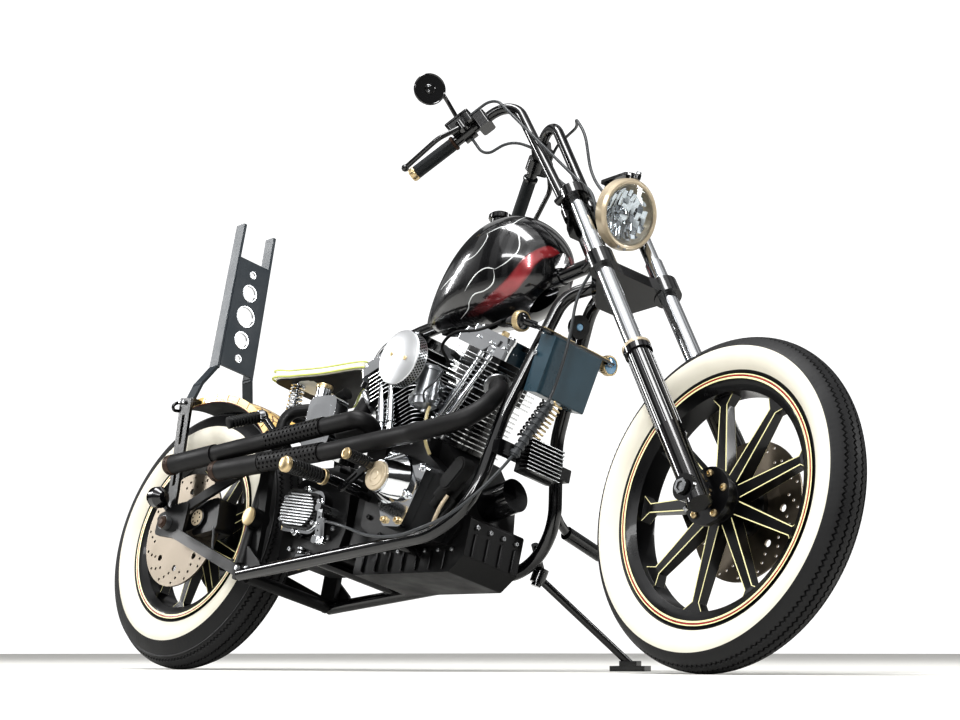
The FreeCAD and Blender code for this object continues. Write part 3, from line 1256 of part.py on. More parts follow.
lamps = []
for side in (-1, 1):
    spot = at(-30, side * 150, REAR_R + 62)
    lamps.append(joined([
        turned([(0.0, -28), (14, -24), (27, -8), (27, 8), (20, 14), (0.0, 16)], spot, at(-1, 0, 0)),
        rod(at(-24, side * 118, REAR_R + 40), spot, 7)]))
pieces["turn_signals"] = apart([joined(signals)] + lamps)

# Side stand: its foot lies flat on the floor when the motorcycle leans
PIVOT = at(RAIL_FRONT_X - 80, 176, 260)
STAND_AXIS = at(0.15, 0.06, 0.987).normalize()
FOOT_SPOT = at(1141, 400, 0)
FOOT_L = 84.0
FOOT_W = 52.0
FOOT_T = 12.0
STAND_R = 9.0
STAND_PIN_R = 8.0
PIN_HEAD_R = 11.0
EYE_R = 17.0
EYE_H = 24.0
foot_here = unparked_point(FOOT_SPOT)
foot_u = unparked_point(FOOT_SPOT + at(90, 35, 0)) - foot_here
foot_v = unparked_point(FOOT_SPOT + at(-35, 90, 0)) - foot_here
foot_up = (unparked_point(FOOT_SPOT + at(0, 0, 100)) - foot_here).normalize()
foot_pad = slab(foot_here + foot_up * (FOOT_T / 2), foot_u, foot_v, FOOT_L, FOOT_W, FOOT_T, 8)
foot_ramp = slab(foot_here + foot_up * (FOOT_T + 5), foot_u, foot_v, FOOT_L * 0.5, FOOT_W * 0.7, 12, 5)
leg = rod(PIVOT, foot_here + foot_up * (FOOT_T + 4), STAND_R)
eye = rod(PIVOT - STAND_AXIS * (EYE_H / 2), PIVOT + STAND_AXIS * (EYE_H / 2), EYE_R)
pin_hole = rod(PIVOT - STAND_AXIS * 60, PIVOT + STAND_AXIS * 60, STAND_PIN_R + SEAT_GAP)
pin_low = PIVOT - STAND_AXIS * (EYE_H / 2 + 8)
pin = rod(pin_low, PIVOT + STAND_AXIS * (EYE_H / 2 + 10), STAND_PIN_R)
pin_head = rod(pin_low, PIVOT - STAND_AXIS * (EYE_H / 2 + 1), PIN_HEAD_R)
head_room = rod(pin_low - STAND_AXIS * 2, PIVOT - STAND_AXIS * (EYE_H / 2), PIN_HEAD_R + 1)
pieces["side_stand"] = joined([leg, eye, foot_pad, foot_ramp]).cut([pin_hole, head_room])
ear = PIVOT + STAND_AXIS * (EYE_H / 2 + 1)
ear_plate = rod(ear, ear + STAND_AXIS * 8, EYE_R)
hanger = rod(ear + STAND_AXIS * 4, at(1048, 128, 322), 8)
pieces["stand_bracket"] = joined([pin, pin_head, ear_plate, hanger]).cut(cradle_room[1])

# Clutch cable from the steering head down to the linkage, with its rubber boot
BOOT_R = 12.0
boot_high = at(1195, -45, 580)
boot_low = at(1165, -91, 447)
boot = rod(boot_high, boot_low, BOOT_R - 3)
boot_ribs = []
for i in range(9):
    spot = boot_high + (boot_low - boot_high) * ((i + 0.5) / 9)
    ahead = (boot_low - boot_high).normalize() * 4
    boot_ribs.append(rod(spot - ahead, spot + ahead, BOOT_R))
clutch_run = cord([
    at(1246, -38, 900), at(1230, -60, 823), at(1226, -52, 706), boot_high, boot_low,
    at(1145, -140, 360), at(1085, -168, 290), at(940, -168, 252), at(838, -168, 255),
    at(725, -168, 288), at(646, -150, 305)], CABLE_R)
pieces["clutch_cable"] = joined([clutch_run, boot] + boot_ribs).cut(linkage)

FORK_NODES = [
    "triple_clamps", "fork_tubes", "fork_sliders", "front_axle", "front_caliper", "handlebar",
    "grips", "hand_controls", "control_cables", "mirror", "headlamp", "headlamp_lens"]
FRONT_NODES = ["front_tyre", "front_wheel", "front_disc"]

for name, shape in pieces.items():
    if name in FORK_NODES or name in FRONT_NODES:
        shape = steered(shape)
    pieces[name] = parked(shape)

for name, shape in pieces.items():
    shape.exportStep("parts/" + name + ".step")
    solids = shape.Solids
    volume = sum(solid.Volume for solid in solids)
    print(name, len(solids), "solids", round(volume / 1000.0, 1), "cm3", shape.isValid())
print("pitch", round(PITCH, 4), "front low", round(FRONT_LOW, 3))
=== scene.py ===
import math

import bmesh
import bpy
from bpy.props import FloatProperty, PointerProperty
from mathutils import Matrix, Vector
from mathutils.bvhtree import BVHTree


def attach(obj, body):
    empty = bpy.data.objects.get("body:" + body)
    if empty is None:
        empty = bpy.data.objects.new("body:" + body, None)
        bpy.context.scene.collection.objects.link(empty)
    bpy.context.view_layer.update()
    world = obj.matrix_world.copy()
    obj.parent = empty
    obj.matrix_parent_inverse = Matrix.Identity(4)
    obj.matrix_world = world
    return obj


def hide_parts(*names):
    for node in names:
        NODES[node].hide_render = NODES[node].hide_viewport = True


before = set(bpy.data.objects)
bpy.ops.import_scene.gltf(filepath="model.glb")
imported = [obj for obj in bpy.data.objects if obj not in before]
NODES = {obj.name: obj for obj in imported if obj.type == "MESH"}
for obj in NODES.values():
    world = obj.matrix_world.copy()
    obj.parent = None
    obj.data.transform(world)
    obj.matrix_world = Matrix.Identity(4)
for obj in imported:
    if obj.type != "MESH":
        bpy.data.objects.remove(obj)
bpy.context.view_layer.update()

bl_info = {
    "name": "Chopper motorcycle",
    "version": (1, 0, 0),
    "blender": (4, 5, 0),
    "location": "3D view > Sidebar > Chopper",
    "description": "Dresses the packed model of a parked chopper motorcycle",
    "category": "Object",
}

# The pieces are drawn in millimetres of the upright motorcycle: X forward from the rear axle, Y to
# the rider's left, Z up from the floor. It then leans on its stand, and the front end is turned.
MM = 0.001
LEAN = math.radians(15.53)
PITCH = math.radians(-0.065)
STEER = math.radians(-4.14)
RAKE = math.radians(36.0)
HEAD = Vector((1267.0, 0.0, 858.6))
DOWN = Vector((math.sin(RAKE), 0.0, -math.cos(RAKE)))
AHEAD = Vector((math.cos(RAKE), 0.0, math.sin(RAKE)))
FORE = Vector((1.0, 0.0, 0.0))
LEFT = Vector((0.0, 1.0, 0.0))
UP = Vector((0.0, 0.0, 1.0))
SIDES = (-1, 1)
REAR_AXLE = Vector((0.0, 0.0, 333.0))
FRONT_AXLE = Vector((1716.0, 0.0, 343.0))
FORK_AHEAD = 66.0
FORK_HALF = 97.0
# Small parts of the fork: how far down the steering axis, and how far out from a leg
FORK_CAP = -207.0
STEM_NUT = -203.0
SLIDER_RIBS = (316.0, 520.0)
CLAMP_BOLTS = (30.0, -188.0)
CLAMP_OUT = 22.0
AXLE_END = 129.2

# Each wheel: its axle, the tyre's radius and half width, the rim's radius and half width
WHEELS = {
    "front": (FRONT_AXLE, 343.0, 50.0, 258.0, 38.0),
    "rear": (REAR_AXLE, 333.0, 61.0, 220.0, 50.0),
}
# The tread: radius of its crown, ribs, teeth, width and depth of a groove, and its zigzag
CROWN = 58.0
RIBS = 5
TEETH = 160
GROOVE = 5.0
GROOVE_DEPTH = 6.0
ZIGZAG = 2.6
TOOTH_STEP = 4.0
# The side wall: its bead under the rim's edge, its thickness there, and the raised white band
BEAD_DEPTH = 12.0
BEAD_IN = 6.3
BEAD_THICK = 9.0
BAND_LIFT = 0.8
WALL_SHARES = (0.06, 0.12, 0.2, 0.3, 0.4, 0.5, 0.6, 0.7, 0.8, 0.9, 0.96)
# Painted rings of a rim: the two depths below its edge, and the paint
RIM_RINGS = ((10.4, 6.2, "cream_enamel"), (5.2, 3.2, "red_enamel"), (2.6, 0.0, "cream_enamel"))
RIM_DEPTH = 32.0
VALVE_TURN = 2.6
SPOKES = 9
# Corners of a spoke's edge: radius, half width and half depth
SPOKE_EDGE = ((50.0, 14.8, 16.7), (180.0, 10.5, 11.0), (199.5, 28.0, 12.8))
HUB_BOLT_Y = 56.0
HUB_BOLT_R = 46.0

# The engine: cylinders at an angle on the crank, heights along them, and their fins
CYL_TILT = math.radians(22.5)
CRANK = Vector((808.0, 0.0, 345.0))
DECK_RISE = 185.0
HEAD_RISE = 322.0
ROCKER_RISE = 405.0
ROCKER_LEN = 196.0
ROCKER_HALF = 74.0
FIN_HALF = 70.0
FIN_LEN = 146.0
FIN_T = 3.0
FIN_PITCH = 11.0
LIFTER_TOP = 500.0
LIFTER_OUT = 72.0
CAM_Y = -142.3
CASE_Y = -116.3
SUMP_X = 1050.0
SUMP_Y = -72.0

# Other built pieces that the trim follows
BOX_X = 1158.0
BOX_HALF = 74.0
REG_X = 1142.0
FENDER_TOP = 676.0
REAR_CAP = Vector((90.0, -107.0, 351.0))
FUEL_CAP = Vector((860, 0, 1050))
CAP_AIM = Vector((-0.12, 0, 1)).normalized()
CLEANER = Vector((866, -216, 657))
GEAR_COVER = Vector((511.0, -117.2, 346.0))
LAMP_FACE = Vector((1296.0, 0.0, 1026.0))
LAMP_AIM = Vector((0.985, 0, -0.17)).normalized()
LAMP_CELL = (13.0, 17.0)
LAMP_CORNERS = ((-6.4, -8.4), (0, -8.4), (6.4, -8.4), (6.4, 8.4), (0, 8.4), (-6.4, 8.4))
LAMP_BOWL_R = 60.0
# The lamp's bezel ends this far behind its face, and is this wide
BEZEL_DEPTH = 26.0
BEZEL_R = 83.0
MIRROR = Vector((924.0, -330.0, 1272.0))
MIRROR_BACK = Vector((0.88, -0.42, -0.1)).normalized()
HORN = Vector((BOX_X + 18, 0, 778))
HORN_AIM = Vector((0.95, -0.1, -0.2)).normalized()

# Meshes: where an edge turns sharp, which CAD edges are bevelled, and the usual bevel
SHARP = math.radians(38)
BEVELLED = math.radians(32)
BEVEL = 0.8
WELD = 0.02 * MM
ASIDE = Vector((0.3, 0.9, 0.31))

# Names of the finishes that many pieces share
BLACK = "black_stove_enamel"
CHROME = "chrome_plate"
STEEL = "plated_steel"
BRASS = "lacquered_brass"
BUFFED = "buffed_aluminium"
CASTING = "painted_casting"
BEIGE = "beige_enamel"
MAROON = "maroon_enamel"
RUBBER = "moulded_rubber"
# Painted shade: the flat black finish that stands in for the shadow inside holes, slots and bores
PAINTED_SHADE = "painted_shade_black"

# Turned shapes, as (radius, height) corners
SHAPES = {
    "hub_button": ((0, 0), (8.0, 0), (8.0, 2.5), (6.5, 4.6), (3.4, 5.4), (3.2, 3.0), (0, 3.0)),
    "fuel_cap": ((0, 44.2), (15, 44.2), (15.5, 45.4), (12, 46), (0, 46.2)),
    "spring_seat": ((0, 0), (18, 0), (18.6, 1.5), (18, 4), (8, 5), (0, 5)),
    "cleaner_face": (
        (0, 4.0), (8, 4.2), (61, 1.8), (63.6, 0.6), (64.2, -0.6), (63.4, -2.0), (60, -2)),
    "cleaner_band": ((63.0, -2.6), (63.6, -3), (63.6, -28), (63.0, -28.4)),
    "cleaner_rivet": ((0, 0), (5.2, 0), (5.2, 2.0), (4.2, 3.2), (0, 3.6)),
    "timing_cover": (
        (0, 4.2), (9, 4.2), (10, 3.2), (17, 3.2), (18, 4.4), (25, 4.4), (26, 3.0), (32.5, 3.0),
        (33.6, 2.0), (34.4, 0.2), (34.4, -4)),
    "cam_screw": (
        (0, 0), (9, 0), (9, 2), (6.5, 3), (6.5, 9), (5.4, 10), (3, 10), (3, 6), (0, 6)),
    "pivot_cap": ((0, 5), (18, 5), (22, 3.5), (23.2, 0), (23.2, -8)),
    "plate_bolt": ((0, 0), (9, 0), (9, 2), (6.5, 3), (6.5, 6), (0, 6.5)),
    "axle_cap": ((0, 6), (7, 6), (9, 4), (15, 3), (16.6, 0), (16.6, -12)),
    "caliper_cap": ((0, 2), (19, 2), (20.5, 1), (21.5, -2)),
    "pipe_tip": (
        (18.2, 2), (18.2, -0.6), (19.5, -1.2), (24.0, -1.2), (25.0, -0.4), (25.0, 17), (24.2, 18)),
    "pipe_bore": ((17.9, 1), (17.9, 118)),
    "port_flange": ((21.4, -2), (31, -2), (32, 0), (32, 5), (31, 7), (21.4, 7)),
    "bulb_shield": ((0, -34), (11, -34), (13, -30), (13, -24), (10, -22), (0, -22)),
    "bezel_bead": ((69.5, -2.6), (70.2, -1.0), (72, -0.4), (74, -0.6), (75.4, -1.4)),
    "fork_seal": ((19.8, 285), (29, 285), (30.8, 286.5), (30.8, 293), (29, 295), (19.8, 295)),
    "fork_cap": ((0, -4.2), (8, -4.2), (9, -2.6), (15, -2.2), (17, -0.4)),
    "stem_nut": ((0, -12), (10, -12), (12, -9), (12, -2), (17, -2), (17, 2)),
    "axle_bore": ((0, -4), (9, -4), (9, 0.6), (16.4, 0.6), (16.4, -6)),
    "axle_nut": ((10.5, 0), (16.6, 0), (16.6, 2.2), (10.5, 2.2)),
    "grip_end": ((0, -7), (13, -7), (15.5, -5), (16.6, -2), (16.6, 7), (16.1, 8)),
    "grip_collar": ((16.2, 0), (18.2, 1), (18.2, 7), (16.2, 8)),
    "mirror_rim": ((33, 7), (35, 8.4), (36.6, 7), (36.6, 2)),
    "signal_ring": ((19, 0.4), (22, 0.4), (22.8, -1), (22.8, -13), (22, -14)),
    "signal_glass": ((0, 3.4), (8, 3.0), (14, 1.9), (18.6, 0.3), (19.2, -0.4)),
    "horn_eye": ((0, 24), (7, 23.4), (9, 20), (9, 16)),
    "horn_dish": ((9, 22.2), (20, 22.6), (26.3, 22.4), (27, 20)),
    "peg_end": ((0, 5), (13, 5), (17, 2.6), (18.6, 0), (18.6, -9), (17.2, -10)),
    "peg_collar": ((17.1, 0), (18.8, 1), (18.8, 10), (17.1, 11)),
    "pedal_end": ((0, 1.2), (7, 1.2), (7.4, 2.4), (11, 2.4), (13.6, 0.8), (13.6, -4)),
    "hinge_ring": ((9.2, -4), (15.0, -2), (15.6, 4), (15.6, 12), (14.2, 13)),
    "rear_peg_end": ((0, 2), (10, 2), (14.4, 0), (14.4, -6)),
    "rear_signal_glass": ((0, 29.4), (10, 28.8), (20, 24), (26.4, 12)),
    "oil_cap": ((17, -6), (20.5, -5), (21, 2), (19.4, 5), (11, 6.4), (0, 6.6)),
}

# Rounded plates, as (width, height, corner, thickness, chamfer)
PLATES = {
    "gear_cover_foot": (151, 105, 30.5, 2.0, 1.6),
    "gear_cover_face": (136, 90, 28, 14.0, 4.0),
    "linkage_tab": (42, 18, 2, 3.0, 0.6),
    "sump_rib": (44, 5, 2, 5.0, 1.4),
    "front_rib": (6, 52, 2, 5.0, 1.4),
    "box_strip": (96, 15, 3, 1.8, 0.5),
    "strip_slot": (17, 6, 2.8, 1.0, 0.2),
    "regulator_fin": (103, 2.4, 0.6, 0.6, 0.2),
    "oil_tank_panel": (70, 96, 14, 1.4, 0.8),
}

# Screws on the engine and its covers, as (x, z)
CAM_SCREWS = (
    (827, 452, CHROME), (938, 418, CHROME), (893, 298, BRASS), (848, 302, BRASS),
    (906, 356, CHROME), (792, 420, CHROME))
CASE_SCREWS = ((760, 320), (812, 276), (900, 270), (976, 274), (1006, 306), (1000, 392), (756, 430))
GEAR_SCREWS = ((600, 284), (612, 306), (470, 262))
PRIMARY_SCREWS = (
    (446, 290), (446, 408), (520, 268), (520, 436), (610, 274), (610, 430), (700, 276), (700, 418),
    (790, 282), (790, 412), (880, 310), (880, 380))
# Rings of screws on the primary cover: middle x and z, radius, and y of the face
PRIMARY_RINGS = ((520, 352, 56, 164.2), (812, 345, 42, 163.2))

# Hoses: points of the path, steps between them, radius, finish and sides
HOSES = (
    (((918, -142, 560), (924, -150, 540), (926, -148, 500), (930, -140, 474), (938, -130, 452)),
     8, 4.0, "aged_fuel_hose", 12),
    (((850, -60, 706), (880, -112, 720), (930, -126, 742), (985, -104, 752), (1010, -70, 782)),
     10, 3.5, RUBBER, 12),
    (((956, -158, 640), (950, -168, 610), (930, -176, 585), (918, -160, 566)),
     8, 2.6, "cable_cover", 10),
    (((1030, -133, 352), (1018, -137, 326), (1004, -134, 300), (990, -126, 286)),
     8, 4.6, BEIGE, 12),
)
BRAKE_PIPE = (
    (150, -96, 340), (172, -104, 300), (196, -112, 262), (240, -118, 236), (300, -122, 232))
SIGNAL_LOOP = (
    (-104, -92, 668), (-104, -112, 664), (-104, -124, 652), (-104, -118, 642), (-104, -100, 646))
# Exhaust pipes: the tip, and a point further up the straight run
PIPE_TIPS = (((241, -190, 434), (663, -190, 458)), ((45, -190, 461), (745, -190, 531)))

# The tank's painted flames as points near its right side, and the sweep's upper and lower edge
TANK_FLAMES = (
    ((800, -85, 877), (841, -99, 893), (877, -107, 905), (890, -109, 918), (883, -109, 930)),
    ((886, -110, 926), (923, -112, 934), (943, -112, 954), (951, -108, 977), (944, -105, 992)),
    ((946, -105, 990), (973, -98, 1004), (1000, -85, 1013), (998, -48, 1046)),
    ((999, -87, 1012), (1023, -86, 992), (1038, -87, 967), (1042, -88, 945), (1033, -92, 927),
     (1015, -97, 910), (992, -101, 898)),
    ((992, -101, 898), (968, -107, 902), (943, -107, 894), (920, -103, 878), (896, -94, 859)),
    ((988, -102, 897), (990, -97, 882), (982, -92, 866), (957, -89, 855), (925, -89, 850),
     (903, -80, 838), (887, -66, 826), (845, -46, 815)),
)
SWEEP_TOP = (
    (1094, -20, 964), (1085, -38, 970), (1076, -58, 958), (1061, -75, 937), (1048, -84, 917),
    (1031, -87, 892), (1009, -87, 872), (974, -84, 851), (943, -78, 838), (901, -66, 827),
    (866, -51, 817))
SWEEP_LOW = (
    (1098, -13, 957), (1095, -31, 940), (1087, -48, 930), (1078, -58, 913), (1069, -61, 892),
    (1055, -63, 872), (1034, -61, 853), (1000, -60, 837), (962, -56, 825), (918, -48, 818),
    (866, -43, 814))
SWEEP_COLUMNS = 14
FLAKES_PER_METRE = 2000.0
# The fender's lines as (degrees round the axle, y), and its rolled edge as (radius, y)
FENDER_R = 368.0
FENDER_ARCH = ((45, 70), (76, 70), (107, 70))
FENDER_FLAME = ((0, 70), (-2, 46), (5, 22), (-4, 12), (-12, 20), (-9, 48), (-10, 70))
LIP_SECTION = ((356.5, 77.6), (356.5, 79.4), (336.0, 80.0), (336.0, 78.4))
LIP_TURNS = [44 + 2 * step for step in range(33)]

SEAT_OUTLINE = (
    (486, 26), (400, 66), (320, 112), (262, 104), (250, 50), (248, 0), (250, -50), (262, -104),
    (320, -112), (400, -66), (486, -26), (494, 0))
SEAT_MIDDLE = Vector((360.0, 0.0))
# The pan is level up to SEAT_BEND and rises ahead of it; behind SEAT_TAIL the cushion thickens
SEAT_LOW = 694.6
SEAT_BEND = 330.0
SEAT_SLOPE = 48 / 190
SEAT_THICK = 22.0
SEAT_TAIL = 320.0
TAIL_GROWTH = 0.12
# The cushion's section: share of the outline, and share of its height
SEAT_RINGS = (
    (0.03, 0.0), (0.5, 0.0), (0.9, 0.0), (0.965, 0.12), (0.99, 0.5), (0.965, 0.85), (0.88, 0.97),
    (0.5, 0.94), (0.03, 0.92))
# How the cushion swells: pressure, steps, the held base's height and slope, and the most it moves
PRESSURE = 4.0
PUFF_STEPS = 20
HELD = 4 * MM
HELD_SLOPE = 0.25
SWELL = 7 * MM

CAMERA_SPOT = (4.8415, -3.5167, 0.045)
CAMERA_TURN = (math.radians(96.94), 0.0, math.radians(46.94))
LAMP_TARGET = Vector((0.8, 0.2, 0.5))
# Area lamps: name, place, width and height, power
LAMPS = (
    ("key", (5.0, -5.5, 4.2), (0.5, 3.2), 230.0),
    ("side", (1.4, -5.5, 4.4), (4.5, 0.5), 110.0),
    ("fill", (5.5, 4.5, 3.0), (0.6, 3.0), 130.0),
    ("top", (0.5, -0.8, 5.5), (4.0, 1.4), 230.0),
    ("rear", (-5.5, -2.5, 3.0), (0.6, 3.0), 150.0),
)


def about(point, turn):
    """A turn about a point given in millimetres, for a space in metres."""
    shift = Matrix.Translation(point * MM)
    return shift @ turn @ shift.inverted()


PARKED = about(UP * CROWN, Matrix.Rotation(PITCH, 4, "Y")) @ about(
    UP * CROWN, Matrix.Rotation(-LEAN, 4, "X"))
TURNED = PARKED @ about(HEAD, Matrix.Rotation(STEER, 4, -DOWN))
SPACES = {
    "frame": PARKED, "rear_wheel_unit": PARKED,
    "steered_front_end": TURNED, "front_wheel_unit": TURNED,
}


# Places

def turns(count, phase=0.0):
    """The cosine and sine of evenly spaced angles."""
    angles = [2 * math.pi * (i + phase) / count for i in range(count)]
    return [(math.cos(angle), math.sin(angle)) for angle in angles]


def circle(count, u=FORE, v=UP, phase=0.0):
    """Directions round a circle, from u towards v."""
    return [u * a + v * b for a, b in turns(count, phase)]


def square_to(axis, count, rise):
    """Directions square to an axis, spread about it."""
    return [axis.cross(Vector((a, b, rise))).normalized() for a, b in turns(count)]


def bar_line(start, end):
    """Both ends of a straight bar, and its direction."""
    start, end = Vector(start), Vector(end)
    return start, end, (end - start).normalized()


def fork_point(down, ahead, y):
    """A point down the steering axis from the head, and ahead of it."""
    return HEAD + DOWN * down + AHEAD * ahead + LEFT * y


def leg(side, down):
    """A point on the middle line of a fork leg."""
    return fork_point(down, FORK_AHEAD, side * FORK_HALF)


def fender_point(degrees, reach, y):
    """A point round the rear axle, for the fender."""
    turn = math.radians(degrees)
    return REAR_AXLE + Vector((math.cos(turn), 0, math.sin(turn))) * reach + LEFT * y


def cylinder_axes(side):
    """A cylinder's own line, side 1 the front one, and the line across it."""
    line = Vector((side * math.sin(CYL_TILT), 0.0, math.cos(CYL_TILT)))
    return line, Vector((line.z, 0.0, -line.x))


def along_cylinder(side, rise, ahead=0.0, y=0.0):
    """A point at a height up a cylinder, and ahead of its middle line."""
    line, across = cylinder_axes(side)
    return CRANK + LEFT * y + line * rise + across * ahead


def smooth_line(points, count=8, closed=False):
    """A curve through given points."""
    points = [Vector(point) for point in points]
    last = len(points)
    spots = []
    for i in range(last if closed else last - 1):
        near = [(i + k) % last if closed else max(0, min(last - 1, i + k)) for k in (-1, 0, 1, 2)]
        a, b, c, d = (points[k] for k in near)
        for step in range(count):
            t = step / count
            spots.append((b * 2 + (c - a) * t + (a * 2 - b * 5 + c * 4 - d) * t ** 2
                          + (b * 3 - a - c * 3 + d) * t ** 3) * 0.5)
    return spots if closed else spots + [points[-1]]


def rounded_outline(width, height, corner, steps=5):
    """The corners of a rounded rectangle, as (u, v) pairs."""
    spots = []
    for k, (a, b) in enumerate(((1, 1), (-1, 1), (-1, -1), (1, -1))):
        u, v = a * (width / 2 - corner), b * (height / 2 - corner)
        for i in range(steps + 1):
            angle = math.radians(90 * (k + i / steps))
            spots.append((u + corner * math.cos(angle), v + corner * math.sin(angle)))
    return spots


# Materials

def linear(code):
    """An sRGB hex code as the linear colour that Blender's shaders take."""
    parts = [int(code[i:i + 2], 16) / 255 for i in (0, 2, 4)]
    return [p / 12.92 if p <= 0.04045 else ((p + 0.055) / 1.055) ** 2.4 for p in parts] + [1.0]


def fill(tree, node, **inputs):
    """Sets or links a node's inputs, given by name or by number."""
    for key, value in inputs.items():
        number = key[1:]
        socket = node.inputs[int(number) if number.isdigit() else key.replace("_", " ")]
        if isinstance(value, bpy.types.NodeSocket):
            tree.links.new(value, socket)
        else:
            socket.default_value = value


def add(tree, kind, settings=(), **inputs):
    """Adds a shader node with its options and inputs."""
    made = tree.nodes.new(kind)
    for key, value in dict(settings).items():
        setattr(made, key, value)
    fill(tree, made, **inputs)
    return made


def noise(tree, scale, detail):
    """Noise in the piece's own space, so that it moves with the piece."""
    place = add(tree, "ShaderNodeTexCoord").outputs["Object"]
    return add(tree, "ShaderNodeTexNoise", Vector=place, Scale=scale, Detail=detail).outputs["Fac"]


def blend(tree, share, first, second):
    """A colour between two."""
    mix = add(tree, "ShaderNodeMix", {"data_type": "RGBA"}, _0=share, _6=first, _7=second)
    return mix.outputs[2]


def rescale(tree, value, low, high, to_low, to_high):
    """A value stretched from one range to another."""
    return add(tree, "ShaderNodeMapRange", Value=value, From_Min=low, From_Max=high,
               To_Min=to_low, To_Max=to_high).outputs[0]


# Two sRGB tints, metallic, roughness from and to, coat, size of the grain and its depth in mm
FINISHES = {
    # Stove enamel on steel tube: deep black, wet gloss, faint ripple of the poured coat
    "black_stove_enamel": ("020203", "060608", 0.0, 0.10, 0.20, 0.5, 9.0, 0.02),
    # Satin black paint over sand-cast aluminium: a fine grain that breaks up each highlight
    "painted_casting": ("030304", "08080A", 0.0, 0.26, 0.40, 0.2, 1.6, 0.08),
    # Black crackle paint on the crankcase: coarser grain, duller
    "wrinkle_paint": ("020203", "080809", 0.0, 0.36, 0.54, 0.05, 2.6, 0.16),
    # Chromium plate on polished steel: mirror, with faint haze where hands and heat reach it
    "chrome_plate": ("C9CBCE", "E2E4E6", 1.0, 0.04, 0.11, 0.0, 38.0, 0.004),
    # Hard-chromed fork tube: brighter, with fine marks along its travel
    "hard_chrome_tube": ("C2C4C8", "D8DADC", 1.0, 0.08, 0.16, 0.0, 22.0, 0.01),
    # Aluminium buffed to a shine, as on fin edges and turned covers
    "buffed_aluminium": ("C6C8CA", "DEDFE0", 1.0, 0.14, 0.26, 0.0, 2.0, 0.01),
    # Spun aluminium of the air cleaner, brushed to an even sheen
    "brushed_aluminium": ("D6D8DA", "E6E7E8", 1.0, 0.32, 0.40, 0.0, 1.0, 0.02),
    # Cast aluminium left bare: grey, grainy and a little oxidised
    "bare_cast_aluminium": ("83868A", "A9ABAD", 1.0, 0.30, 0.44, 0.0, 1.8, 0.08),
    # Turned stainless steel of the discs, tanned by brake heat
    "turned_disc_steel": ("6A6258", "7C7468", 1.0, 0.34, 0.42, 0.0, 0.8, 0.01),
    # Zinc-plated steel of fasteners and axles
    "plated_steel": ("8E9093", "ABACAD", 1.0, 0.20, 0.36, 0.0, 5.0, 0.02),
    # Turned brass, lacquered and slightly tarnished
    "lacquered_brass": ("AF9A72", "CDBB98", 1.0, 0.28, 0.42, 0.2, 9.0, 0.02),
    # Pipe tips browned by heat, with the matt coat worn off
    "browned_steel": ("2C211B", "43332A", 0.6, 0.36, 0.52, 0.0, 1.2, 0.05),
    # Matt black heat-proof paint on the pipes: dry, dusty, a little browned
    "heatproof_paint": ("09090A", "141314", 0.0, 0.44, 0.60, 0.0, 2.2, 0.08),
    # Nitrile and natural rubber of belts, boots and pads: dull, with bloom
    "moulded_rubber": ("0C0C0D", "191919", 0.0, 0.50, 0.70, 0.0, 3.0, 0.08),
    # Slate-coloured vinyl rubber of the grips
    "grip_vinyl": ("101315", "1A1E20", 0.0, 0.42, 0.56, 0.0, 1.4, 0.03),
    # Grey plastic cover of the cables, rubbed shiny
    "cable_cover": ("2E3032", "434547", 0.0, 0.28, 0.40, 0.1, 6.0, 0.02),
    # Clear fuel hose gone yellow with age
    "aged_fuel_hose": ("A89A70", "C4B78F", 0.0, 0.22, 0.34, 0.3, 6.0, 0.02),
    # Beige satin enamel of the lamp's bezel
    "beige_enamel": ("A89A82", "BDB09A", 0.35, 0.26, 0.38, 0.3, 4.0, 0.03),
    # Blue-black enamel of the box of electrics
    "slate_enamel": ("1E323C", "304854", 0.0, 0.26, 0.38, 0.3, 4.0, 0.04),
    # Blue-black enamel of the backrest, thinner on its edges
    "gunmetal_enamel": ("1E2429", "2B3238", 0.1, 0.36, 0.50, 0.1, 5.0, 0.04),
    # Cream signwriter's enamel, brushed on
    "cream_enamel": ("D6D09A", "E8E2B4", 0.0, 0.24, 0.36, 0.3, 12.0, 0.02),
    # Yellow-cream gloss of the fender
    "fender_enamel": ("DDBB72", "EACD8C", 0.0, 0.14, 0.24, 0.6, 20.0, 0.01),
    # Red signwriter's enamel
    "red_enamel": ("A3121A", "C01C24", 0.0, 0.24, 0.36, 0.3, 12.0, 0.02),
    # Dark red edging of the fender's flames
    "maroon_enamel": ("3E0D10", "561418", 0.0, 0.24, 0.36, 0.3, 12.0, 0.02),
    # Silver signwriter's enamel
    "silver_enamel": ("C4C6C6", "E0E2E0", 0.4, 0.24, 0.36, 0.3, 12.0, 0.02),
    # White-pigmented rubber of the tyre's side band: chalky, faintly yellowed
    "white_rubber": ("C6C2B4", "D4D0C4", 0.0, 0.50, 0.66, 0.0, 14.0, 0.03),
    # Black tyre rubber: dull, with dust in the grain
    "tyre_rubber": ("131314", "222223", 0.0, 0.44, 0.62, 0.0, 2.4, 0.12),
    # Yellow-green welt of the seat
    "piping_vinyl": ("B4BC62", "CBD17E", 0.0, 0.34, 0.46, 0.1, 2.0, 0.04),
    # White seat hide: fine pores, faintly creamy
    "white_hide": ("E6E4D6", "F4F2E8", 0.0, 0.36, 0.50, 0.1, 1.1, 0.12),
    # Black shade inside drilled holes and pipes
    "painted_shade_black": ("010101", "050505", 0.0, 0.80, 0.95, 0.0, 3.0, 0.02),
    # Blue-white signal lens, moulded in fine ribs
    "signal_lens": ("4E7C9C", "86AECB", 0.2, 0.06, 0.12, 1.0, 1.6, 0.10),
    # Smoked signal lens
    "smoked_lens": ("0A0B0C", "16181A", 0.0, 0.06, 0.12, 1.0, 1.6, 0.10),
}


